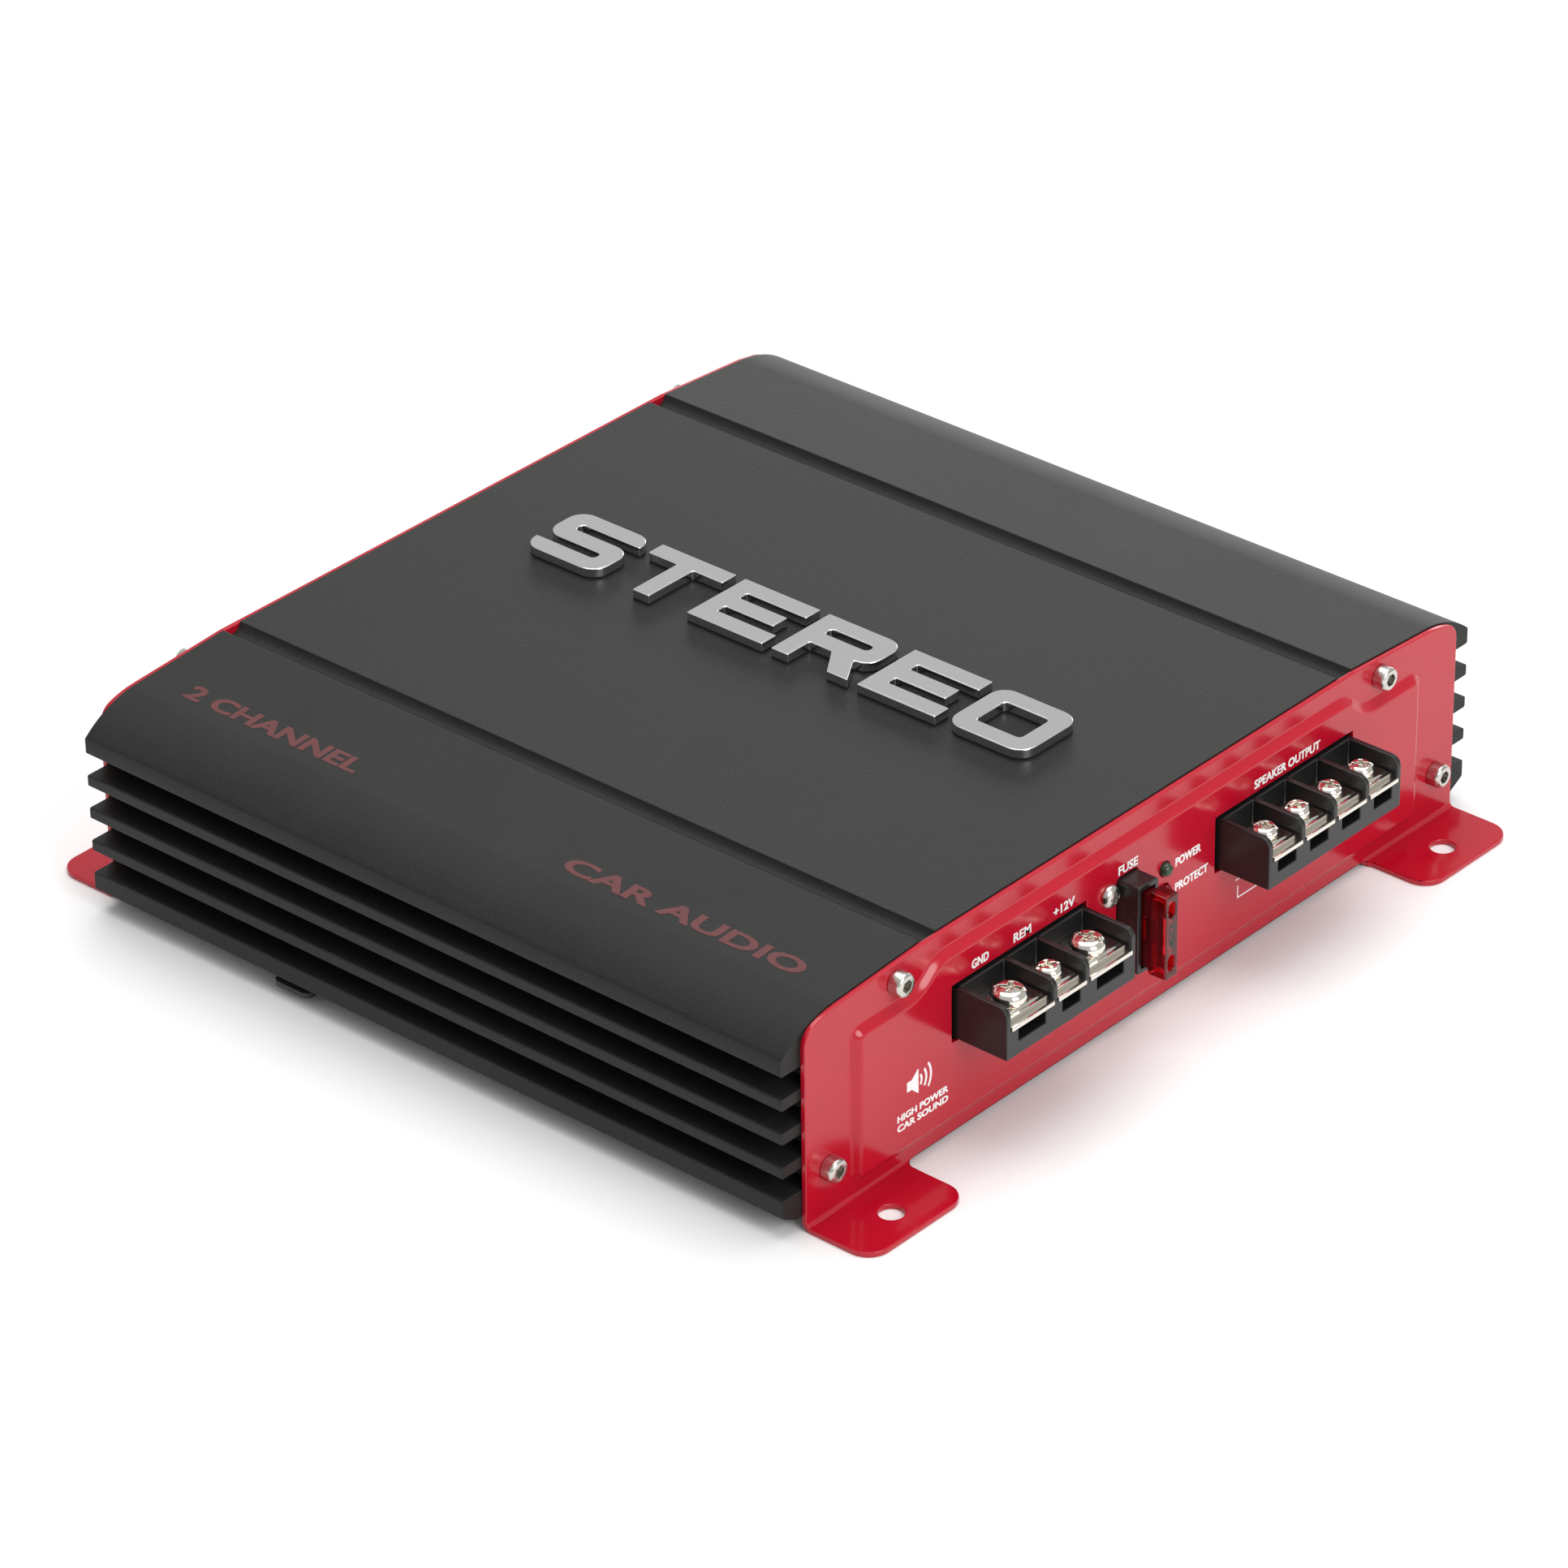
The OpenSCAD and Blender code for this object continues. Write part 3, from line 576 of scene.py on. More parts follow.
class Finishes:
    """Every finish of the amplifier by its use."""

    HOUSING = PowderCoat(
        "housing_powder_coat", "powder_black", (0.0125, 0.0123, 0.012),
        (0.0165, 0.0163, 0.0158), 0.5, 0.05, 30.0, 0.55, 0.05,
        specular=0.22, fleck=(0.036, 0.0355, 0.034),
    )
    COVER = PowderCoat(
        "cover_paint", "cover_black", (0.02, 0.02, 0.02), (0.03, 0.03, 0.03),
        0.55, 0.06, 20.0, 0.5, 0.015, fleck=(0.05, 0.05, 0.05),
    )
    RED = GlossPaint(
        "red_gloss_paint", "plate_red", (0.42, 0.0021, 0.0155), (0.455, 0.0032, 0.019),
        0.18, 0.03, 25.0, 0.35, 0.0025, coat=0.08, coat_roughness=0.08,
    )
    DARK_SCREW = PlatedMetal(
        "dark_oxide", "black_screw", (0.03, 0.03, 0.03), (0.06, 0.055, 0.05),
        0.4, 0.1, 1.5, 0.15, 0.003, metallic=1.0,
    )
    NICKEL = PlatedMetal(
        "dull_nickel", "nickel", (0.55, 0.53, 0.49), (0.68, 0.655, 0.61),
        0.24, 0.08, 1.2, 0.12, 0.003, metallic=1.0,
    )
    TERMINAL = PlatedMetal(
        "terminal_nickel", "terminal_nickel", (0.6, 0.56, 0.485), (0.7, 0.655, 0.57),
        0.16, 0.04, 1.4, 0.12, 0.0008, metallic=1.0,
    )
    BLOCK = PowderCoat(
        "block_moulding", "block_black", (0.007, 0.007, 0.0074),
        (0.01, 0.01, 0.0105), 0.34, 0.05, 5.0, 0.22, 0.006,
        fleck=(0.022, 0.022, 0.023),
    )
    HOLDER = Finish(
        "holder_moulding", "holder_black", (0.01, 0.01, 0.01), (0.014, 0.014, 0.014),
        0.3, 0.06, 4.0, 0.3, 0.003,
    )
    FUSE = Finish(
        "clear_red_moulding", "fuse_red", (0.62, 0.01, 0.02), (0.7, 0.016, 0.026),
        0.1, 0.03, 2.0, 0.4, 0.002, transmission=0.92, ior=1.49,
        coat=0.0, coat_roughness=0.05,
    )
    BLADE = PlatedMetal(
        "zinc_blade", "blade_zinc", (0.55, 0.55, 0.54), (0.68, 0.68, 0.66),
        0.3, 0.08, 1.5, 0.15, 0.004, metallic=1.0,
    )
    GREEN_LAMP = Finish(
        "green_lamp_resin", "lamp_green", (0.05, 0.09, 0.055), (0.08, 0.14, 0.085),
        0.12, 0.03, 1.0, 0.2, 0.002, transmission=0.5, ior=1.5,
    )
    RED_LAMP = Finish(
        "red_lamp_resin", "lamp_red", (0.3, 0.004, 0.01), (0.4, 0.006, 0.014),
        0.12, 0.03, 1.0, 0.2, 0.002, transmission=0.5, ior=1.5,
    )
    BOARD = BoardLacquer(
        "board_lacquer", "board_green", (0.012, 0.09, 0.03), (0.018, 0.12, 0.04),
        0.35, 0.06, 8.0, 0.3, 0.03,
    )
    BRASS = PlatedMetal(
        "turned_brass", "brass", (0.6, 0.42, 0.15), (0.72, 0.52, 0.2),
        0.25, 0.07, 1.5, 0.12, 0.004, metallic=1.0,
    )
    FERRITE = Finish(
        "ferrite", "ferrite", (0.05, 0.05, 0.05), (0.09, 0.085, 0.08),
        0.6, 0.08, 2.0, 0.3, 0.03,
    )
    IRON = Finish(
        "yellow_iron_core", "iron_yellow", (0.6, 0.45, 0.03), (0.7, 0.55, 0.06),
        0.5, 0.08, 3.0, 0.4, 0.02,
    )
    COPPER = WoundWire(
        "transformer_wire", "copper_wire", (0.55, 0.19, 0.06), (0.7, 0.27, 0.1),
        0.3, 0.08, 4.0, 0.4, 0.6, metallic=0.9, turns=96.0, centre=(28.0, 0.0),
    )
    CHOKE_COPPER = WoundWire(
        "choke_wire", "copper_wire", (0.55, 0.19, 0.06), (0.7, 0.27, 0.1),
        0.3, 0.08, 4.0, 0.4, 0.6, metallic=0.9, turns=44.0, centre=(62.0, -42.0),
    )
    SLEEVE = Finish(
        "capacitor_sleeve", "sleeve_blue", (0.01, 0.02, 0.09), (0.015, 0.03, 0.13),
        0.3, 0.06, 5.0, 0.5, 0.01, coat=0.3,
    )
    CASE = Finish(
        "moulded_case", "case_black", (0.012, 0.012, 0.012), (0.025, 0.025, 0.025),
        0.5, 0.08, 3.0, 0.2, 0.01,
    )
    PAD = Finish(
        "silicone_pad", "pad_grey", (0.45, 0.45, 0.43), (0.55, 0.55, 0.52),
        0.6, 0.06, 2.0, 0.2, 0.01,
    )
    STEEL = PlatedMetal(
        "zinc_steel", "bar_steel", (0.42, 0.42, 0.43), (0.55, 0.55, 0.54),
        0.34, 0.08, 2.5, 0.2, 0.006, metallic=1.0, stretch=(0.15, 1.0, 1.0),
    )
    GOLD = PlatedMetal(
        "thin_gold", "gold_plate", (0.72, 0.5, 0.18), (0.82, 0.6, 0.24),
        0.2, 0.06, 2.0, 0.12, 0.003, metallic=1.0, stretch=(4.0, 1.0, 1.0),
    )
    WHITE = Finish(
        "pale_moulding", "insert_white", (0.6, 0.6, 0.58), (0.7, 0.7, 0.67),
        0.35, 0.06, 3.0, 0.3, 0.006,
    )
    KNOB = PowderCoat(
        "knob_moulding", "knob_black", (0.012, 0.012, 0.012), (0.02, 0.02, 0.02),
        0.45, 0.06, 3.0, 0.2, 0.01, fleck=(0.03, 0.03, 0.03),
    )
    TAPE = Finish(
        "badge_tape", "tape_black", (0.004, 0.004, 0.004), (0.008, 0.008, 0.008),
        0.6, 0.06, 2.0, 0.3, 0.01,
    )
    BADGE = BadgePlate(
        "badge_chrome", "badge_chrome", (0.84, 0.84, 0.835), (0.9, 0.9, 0.895),
        0.34, 0.05, 20.0, 0.12, 0.002, metallic=1.0, stretch=(1.0, 0.06, 1.0),
        # side: painted shade colour for the letters' sides
        side=(0.5, 0.5, 0.51),
    )
    INK = Finish(
        "white_ink", "plate_red", (0.78, 0.76, 0.75), (0.88, 0.87, 0.86),
        0.5, 0.06, 1.2, 0.15, 0.002,
    )
    DULL_RED_INK = Finish(
        "dull_red_ink", "powder_black", (0.085, 0.011, 0.012), (0.115, 0.015, 0.016),
        0.5, 0.06, 2.5, 0.3, 0.01,
    )


# ------------------------------------------------------------------ workshop


class Plane(Enum):
    """The plane an outline is drawn in, seen from its normal."""

    FRONT = "yz"
    TOP = "xy"
    SIDE = "xz"

    def point(self, u: float, v: float, level: float) -> Vector:
        """A point of the plane in space.

        Args:
            u: first coordinate in the plane.
            v: second coordinate in the plane.
            level: place along the normal.

        Returns:
            The point, in millimetres.
        """
        if self is Plane.FRONT:
            return Vector((level, u, v))
        if self is Plane.SIDE:
            return Vector((u, level, v))
        return Vector((u, v, level))

    @property
    def normal(self) -> Vector:
        """The plane's normal."""
        return self.point(0.0, 0.0, 1.0)


@dataclass(frozen=True)
class Outline:
    """A closed outline, anticlockwise, with a radius for each corner."""

    points: tuple[Point2, ...]
    radii: tuple[float, ...] | float = 0.0
    segments: int = 6

    def moved(self, du: float, dv: float) -> "Outline":
        """The same outline moved in its plane."""
        return Outline(
            tuple((u + du, v + dv) for u, v in self.points), self.radii, self.segments
        )

    def loop(self, plane: Plane, level: float) -> list[Vector]:
        """Rounds the corners and gives the closed line's points.

        Args:
            plane: the plane that it is drawn in.
            level: place along the plane's normal.

        Returns:
            The points in order.
        """
        work = bmesh.new()
        corners = [work.verts.new(plane.point(u, v, level)) for u, v in self.points]
        work.faces.new(corners)
        count = len(self.points)
        radii = self.radii if isinstance(self.radii, tuple) else (self.radii,) * count
        jobs = []
        for i, radius in enumerate(radii):
            if radius <= 0:
                continue
            here = Vector(self.points[i])
            back = (Vector(self.points[i - 1]) - here).normalized()
            on = (Vector(self.points[(i + 1) % count]) - here).normalized()
            turn = math.pi - back.angle(on)
            jobs.append((corners[i], radius * math.tan(turn / 2)))
        for vert, reach in jobs:
            bmesh.ops.bevel(
                work, geom=[vert], offset=reach, offset_type="OFFSET", profile=0.5,
                segments=self.segments, affect="VERTICES", material=-1,
                clamp_overlap=False,
            )
        points = [v.co.copy() for v in next(iter(work.faces)).verts]
        work.free()
        return points


def rectangle(low: Point2, high: Point2, radius: float = 0.0) -> Outline:
    """A rectangle's outline.

    Args:
        low: lower left corner.
        high: upper right corner.
        radius: rounding of the corners.

    Returns:
        The outline.
    """
    return Outline(
        (low, (high[0], low[1]), high, (low[0], high[1])), radius, 5
    )


class Workpiece:
    """A mesh in millimetres that is cut, bent and joined into a piece."""

    def __init__(self) -> None:
        """Starts with nothing."""
        self.bm = bmesh.new()

    def block(self, low: Point3, high: Point3) -> "Workpiece":
        """Adds a box.

        Args:
            low: lowest corner.
            high: highest corner.

        Returns:
            The workpiece.
        """
        size = Vector(high) - Vector(low)
        centre = (Vector(high) + Vector(low)) / 2
        place = Matrix.Translation(centre) @ Matrix.Diagonal((*size, 1.0))
        bmesh.ops.create_cube(self.bm, size=1.0, matrix=place)
        return self

    def rod(
        self,
        start: Point3,
        end: Point3,
        radius: float,
        end_radius: float | None = None,
        segments: int = 32,
    ) -> "Workpiece":
        """Adds a round bar or cone.

        Args:
            start: centre of its first end.
            end: centre of its other end.
            radius: radius at the start.
            end_radius: radius at the end, the same if left out.
            segments: sides round it.

        Returns:
            The workpiece.
        """
        axis = Vector(end) - Vector(start)
        turn = Vector((0, 0, 1)).rotation_difference(axis).to_matrix().to_4x4()
        place = Matrix.Translation((Vector(start) + Vector(end)) / 2) @ turn
        bmesh.ops.create_cone(
            self.bm, cap_ends=True, cap_tris=False, segments=segments,
            radius1=radius, radius2=radius if end_radius is None else end_radius,
            depth=axis.length, matrix=place,
        )
        return self

    def prism(
        self, outline: Outline, plane: Plane, low: float, high: float
    ) -> "Workpiece":
        """Adds an outline drawn out along its normal.

        Args:
            outline: the closed outline.
            plane: the plane it is drawn in.
            low: where it starts.
            high: where it ends.

        Returns:
            The workpiece.
        """
        loop = [self.bm.verts.new(p) for p in outline.loop(plane, low)]
        self.draw_out([self.bm.faces.new(loop)], plane.normal * (high - low))
        return self

    def pierced_prism(
        self,
        outline: Outline,
        holes: Sequence[Outline],
        plane: Plane,
        low: float,
        high: float,
    ) -> "Workpiece":
        """Adds an outline with holes, drawn out along its normal.

        Args:
            outline: the outer outline.
            holes: the outlines of its holes.
            plane: the plane they are drawn in.
            low: where it starts.
            high: where it ends.

        Returns:
            The workpiece.
        """
        edges = [e for o in (outline, *holes) for e in self.wire(o.loop(plane, low))]
        self.draw_out(self.fill(edges, plane.normal), plane.normal * (high - low))
        return self

    def wire(self, points: Iterable[Vector]) -> list[bmesh.types.BMEdge]:
        """Adds a closed line.

        Args:
            points: its points in order.

        Returns:
            Its edges.
        """
        verts = [self.bm.verts.new(p) for p in points]
        return [
            self.bm.edges.new((verts[i - 1], verts[i])) for i in range(len(verts))
        ]

    def ring(self, plane: Plane, centre: Point2, level: float, radius: float,
             segments: int = 28) -> list[bmesh.types.BMEdge]:
        """Adds a circle's line.

        Args:
            plane: the plane it lies in.
            centre: its centre in the plane.
            level: place along the normal.
            radius: its radius.
            segments: its sides.

        Returns:
            Its edges.
        """
        turn = Vector((0, 0, 1)).rotation_difference(plane.normal).to_matrix().to_4x4()
        place = Matrix.Translation(plane.point(*centre, level)) @ turn
        made = bmesh.ops.create_circle(
            self.bm, cap_ends=False, segments=segments, radius=radius, matrix=place
        )
        return list({e for v in made["verts"] for e in v.link_edges})

    def fill(
        self, edges: Sequence[bmesh.types.BMEdge], normal: Vector
    ) -> list[bmesh.types.BMFace]:
        """Fills flat closed lines, leaving the inner ones open.

        Args:
            edges: the edges of every line.
            normal: the side that the faces look to.

        Returns:
            The new faces.
        """
        before = set(self.bm.faces)
        rim = set(edges)
        bmesh.ops.triangle_fill(
            self.bm, use_beauty=True, use_dissolve=False, edges=edges, normal=normal
        )
        made = [f for f in self.bm.faces if f not in before]
        inner = list({e for f in made for e in f.edges if e not in rim})
        bmesh.ops.dissolve_limit(
            self.bm, angle_limit=0.01, use_dissolve_boundaries=False,
            verts=[], edges=inner,
        )
        return [f for f in self.bm.faces if f not in before]

    def draw_out(self, faces: list[bmesh.types.BMFace], move: Vector) -> None:
        """Draws faces out into a closed solid.

        Args:
            faces: the flat faces.
            move: how far and which way.
        """
        made = bmesh.ops.extrude_face_region(self.bm, geom=faces, use_keep_orig=True)
        verts = [g for g in made["geom"] if isinstance(g, bmesh.types.BMVert)]
        bmesh.ops.translate(self.bm, verts=verts, vec=move)

    def lathe(
        self,
        profile: Sequence[Point2],
        origin: Point3,
        axis: Point3 = (0.0, 0.0, 1.0),
        steps: int = 40,
    ) -> "Workpiece":
        """Turns a profile of (radius, height) points into a round solid.

        Args:
            profile: points from the axis round and back to the axis.
            origin: where height 0 is.
            axis: the direction of the height.
            steps: sides round it.

        Returns:
            The workpiece.
        """
        return self._turned(profile, False, origin, axis, steps)

    def tube(
        self,
        profile: Sequence[Point2],
        origin: Point3,
        axis: Point3 = (0.0, 0.0, 1.0),
        steps: int = 40,
    ) -> "Workpiece":
        """Turns a closed profile that stays off the axis.

        Args:
            profile: (radius, height) points round the section.
            origin: where height 0 is.
            axis: the direction of the height.
            steps: sides round it.

        Returns:
            The workpiece.
        """
        return self._turned(profile, True, origin, axis, steps)

    def _turned(
        self, profile: Sequence[Point2], closed: bool, origin: Point3, axis: Point3,
        steps: int,
    ) -> "Workpiece":
        """Spins a profile round an axis.

        Args:
            profile: (radius, height) points.
            closed: the section is a closed line.
            origin: where height 0 is.
            axis: the direction of the height.
            steps: sides round it.

        Returns:
            The workpiece.
        """
        part = bmesh.new()
        verts = [part.verts.new((r, 0.0, h)) for r, h in profile]
        pairs = list(zip(verts, verts[1:])) + ([(verts[-1], verts[0])] if closed else [])
        edges = [part.edges.new(pair) for pair in pairs]
        bmesh.ops.spin(
            part, geom=[*verts, *edges], cent=(0, 0, 0), axis=(0, 0, 1), dvec=(0, 0, 0),
            angle=math.tau, steps=steps, use_merge=True, use_duplicate=False,
        )
        bmesh.ops.remove_doubles(part, verts=part.verts[:], dist=1e-4)
        bmesh.ops.recalc_face_normals(part, faces=part.faces[:])
        turn = Vector((0, 0, 1)).rotation_difference(Vector(axis)).to_matrix().to_4x4()
        bmesh.ops.transform(
            part, matrix=Matrix.Translation(origin) @ turn, verts=part.verts[:]
        )
        self._take_in(part)
        return self

    def _take_in(self, part: bmesh.types.BMesh) -> None:
        """Moves another mesh's geometry into this one."""
        carrier = bpy.data.meshes.new("carrier")
        part.to_mesh(carrier)
        part.free()
        self.bm.from_mesh(carrier)
        bpy.data.meshes.remove(carrier)

    def add(self, other: "Workpiece") -> "Workpiece":
        """Takes in another workpiece as it is, without joining its surfaces."""
        self._take_in(other.bm)
        return self

    def thicken_ink(self, thick: float) -> None:
        """Gives flat print a little thickness upwards.

        Args:
            thick: the thickness.
        """
        bmesh.ops.remove_doubles(self.bm, verts=self.bm.verts[:], dist=1e-5)
        self.draw_out(self.bm.faces[:], Vector((0, 0, thick)))

    def tidy(self) -> "Workpiece":
        """Merges doubles and turns every face outwards."""
        bmesh.ops.remove_doubles(self.bm, verts=self.bm.verts[:], dist=1e-4)
        bmesh.ops.recalc_face_normals(self.bm, faces=self.bm.faces[:])
        return self

    def _combine(self, other: "Workpiece", operation: str) -> "Workpiece":
        """Joins or cuts with another closed workpiece.

        Args:
            other: the other solid, used up.
            operation: the modifier's operation.

        Returns:
            The workpiece.
        """
        holders = []
        for work in (self.tidy(), other.tidy()):
            mesh = bpy.data.meshes.new("carrier")
            work.bm.to_mesh(mesh)
            holder = bpy.data.objects.new("carrier", mesh)
            bpy.context.scene.collection.objects.link(holder)
            holders.append(holder)
        other.bm.free()
        tool = holders[0].modifiers.new("join", "BOOLEAN")
        tool.operation = operation
        tool.object = holders[1]
        tool.solver = "EXACT"
        seen = holders[0].evaluated_get(bpy.context.evaluated_depsgraph_get())
        made = bpy.data.meshes.new_from_object(seen)
        self.bm.clear()
        self.bm.from_mesh(made)
        bpy.data.meshes.remove(made)
        for holder in holders:
            mesh = holder.data
            bpy.data.objects.remove(holder)
            bpy.data.meshes.remove(mesh)
        return self

    def join(self, other: "Workpiece") -> "Workpiece":
        """Joins another solid on."""
        return self._combine(other, "UNION")

    def cut(self, other: "Workpiece") -> "Workpiece":
        """Cuts another solid away."""
        return self._combine(other, "DIFFERENCE")

    def round_edges(
        self, chosen: Callable[[bmesh.types.BMEdge], bool], width: float,
        segments: int = 3,
    ) -> "Workpiece":
        """Rounds chosen edges.

        Args:
            chosen: says which edges.
            width: radius.
            segments: steps of the rounding.

        Returns:
            The workpiece.
        """
        edges = [e for e in self.bm.edges if chosen(e)]
        bmesh.ops.bevel(
            self.bm, geom=edges, offset=width, offset_type="OFFSET", profile=0.5,
            segments=segments, affect="EDGES", material=-1, clamp_overlap=True,
        )
        return self

    def mirrored(self, across_x: bool = True) -> "Workpiece":
        """Mirrors it to the other end or side of the amplifier.

        Args:
            across_x: to the other end, otherwise to the other side.

        Returns:
            The workpiece.
        """
        flip = Matrix.Diagonal((-1, 1, 1, 1) if across_x else (1, -1, 1, 1))
        bmesh.ops.transform(self.bm, matrix=flip, verts=self.bm.verts[:])
        bmesh.ops.reverse_faces(self.bm, faces=self.bm.faces[:])
        return self

    def piece(
        self,
        name: str,
        finish: Finish,
        body: str = BODY,
        stands_for: Sequence[str] = (),
        edge: float = 0.0,
        edge_steps: int = 2,
        sharp: float = 34.0,
        wall: float = 0.0,
        clean: bool = True,
        clamp: bool = False,
    ) -> bpy.types.Object:
        """Makes the finished piece, dressed and fixed to its body.

        Args:
            name: the piece's name.
            finish: its finish.
            body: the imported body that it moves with.
            stands_for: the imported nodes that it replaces.
            edge: rounding of its sharp edges, none if 0.
            edge_steps: steps of that rounding.
            sharp: the angle from which an edge counts as sharp.
            wall: thickness that an open skin gets inwards, none if 0.
            clean: merge doubles and turn the faces outwards first.
            clamp: keep the rounding narrower than its faces.

        Returns:
            The piece.
        """
        if clean:
            self.tidy()
        bmesh.ops.scale(self.bm, vec=(MM, MM, MM), verts=self.bm.verts[:])
        mesh = bpy.data.meshes.new(name)
        self.bm.to_mesh(mesh)
        self.bm.free()
        mesh.shade_smooth()
        mesh.set_sharp_from_angle(angle=math.radians(sharp))
        made = bpy.data.objects.new(name, mesh)
        bpy.context.scene.collection.objects.link(made)
        if wall:
            skin = made.modifiers.new("wall", "SOLIDIFY")
            skin.thickness = wall * MM
            skin.offset = -1.0
            skin.use_even_offset = True
        if edge:
            rim = made.modifiers.new("edges", "BEVEL")
            rim.width = edge * MM
            rim.segments = edge_steps
            rim.limit_method = "ANGLE"
            rim.angle_limit = math.radians(sharp)
            rim.use_clamp_overlap = clamp
        even = made.modifiers.new("shading", "WEIGHTED_NORMAL")
        even.keep_sharp = True
        dress(made, finish, body, stands_for)
        return made


def dress(
    made: bpy.types.Object, finish: Finish, body: str, stands_for: Sequence[str] = ()
) -> None:
    """Gives a piece its finish, its body and the nodes that it stands for.

    Args:
        made: the piece.
        finish: its finish.
        body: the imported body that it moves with.
        stands_for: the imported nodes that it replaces.
    """
    made.data.materials.clear()
    made.data.materials.append(finish.material())
    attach(made, body)
    if stands_for:
        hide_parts(*stands_for)
    LOG.info("%s: %d faces, rides on %s", made.name, len(made.data.polygons), body)


def lettering(
    name: str,
    words: str,
    low: Point2,
    high: Point2,
    to_space: Matrix,
    finish: Finish,
    weight: float = 0.02,
    body: str = BODY,
    bold: float = 0.0,
) -> bpy.types.Object:
    """Prints words on a surface, fitted into a box.

    Args:
        name: the piece's name.
        words: the words.
        low: lower left corner in the surface's own plane, in millimetres.
        high: upper right corner.
        to_space: the surface's plane in space, in millimetres.
        finish: the ink.
        weight: how much bolder than the plain face.
        body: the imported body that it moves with.
        bold: how far extra strokes are set off to the sides, none if 0.

    Returns:
        The piece.
    """
    curve = bpy.data.curves.new(name, "FONT")
    curve.body = words
    curve.offset = weight
    curve.resolution_u = 3
    curve.extrude = 0.0
    holder = bpy.data.objects.new(name + "_face", curve)
    bpy.context.scene.collection.objects.link(holder)
    seen = holder.evaluated_get(bpy.context.evaluated_depsgraph_get())
    mesh = bpy.data.meshes.new_from_object(seen)
    bpy.data.objects.remove(holder)
    bpy.data.curves.remove(curve)
    work = Workpiece()
    work.bm.from_mesh(mesh)
    bpy.data.meshes.remove(mesh)
    xs = [v.co.x for v in work.bm.verts]
    ys = [v.co.y for v in work.bm.verts]
    stretch = Vector(
        ((high[0] - low[0]) / (max(xs) - min(xs)), (high[1] - low[1]) / (max(ys) - min(ys)), 1.0)
    )
    bmesh.ops.translate(work.bm, verts=work.bm.verts[:], vec=(-min(xs), -min(ys), 0))
    bmesh.ops.scale(work.bm, vec=stretch, verts=work.bm.verts[:])
    bmesh.ops.translate(work.bm, verts=work.bm.verts[:], vec=(*low, 0.0))
    work.thicken_ink(0.03)
    if bold:
        plain = work.bm.copy()
        for i, (du, dv) in enumerate(((-1, -0.5), (1, -0.5), (-1, 0.5), (1, 0.5))):
            copy = Workpiece()
            copy.bm = plain.copy()
            bmesh.ops.translate(
                copy.bm, verts=copy.bm.verts[:],
                vec=(du * bold, dv * bold, -0.002 * (i + 1)),
            )
            work.add(copy)
        plain.free()
    bmesh.ops.transform(work.bm, matrix=to_space, verts=work.bm.verts[:])
    return work.piece(name, finish, body, sharp=30)


# ------------------------------------------------------------------- housing


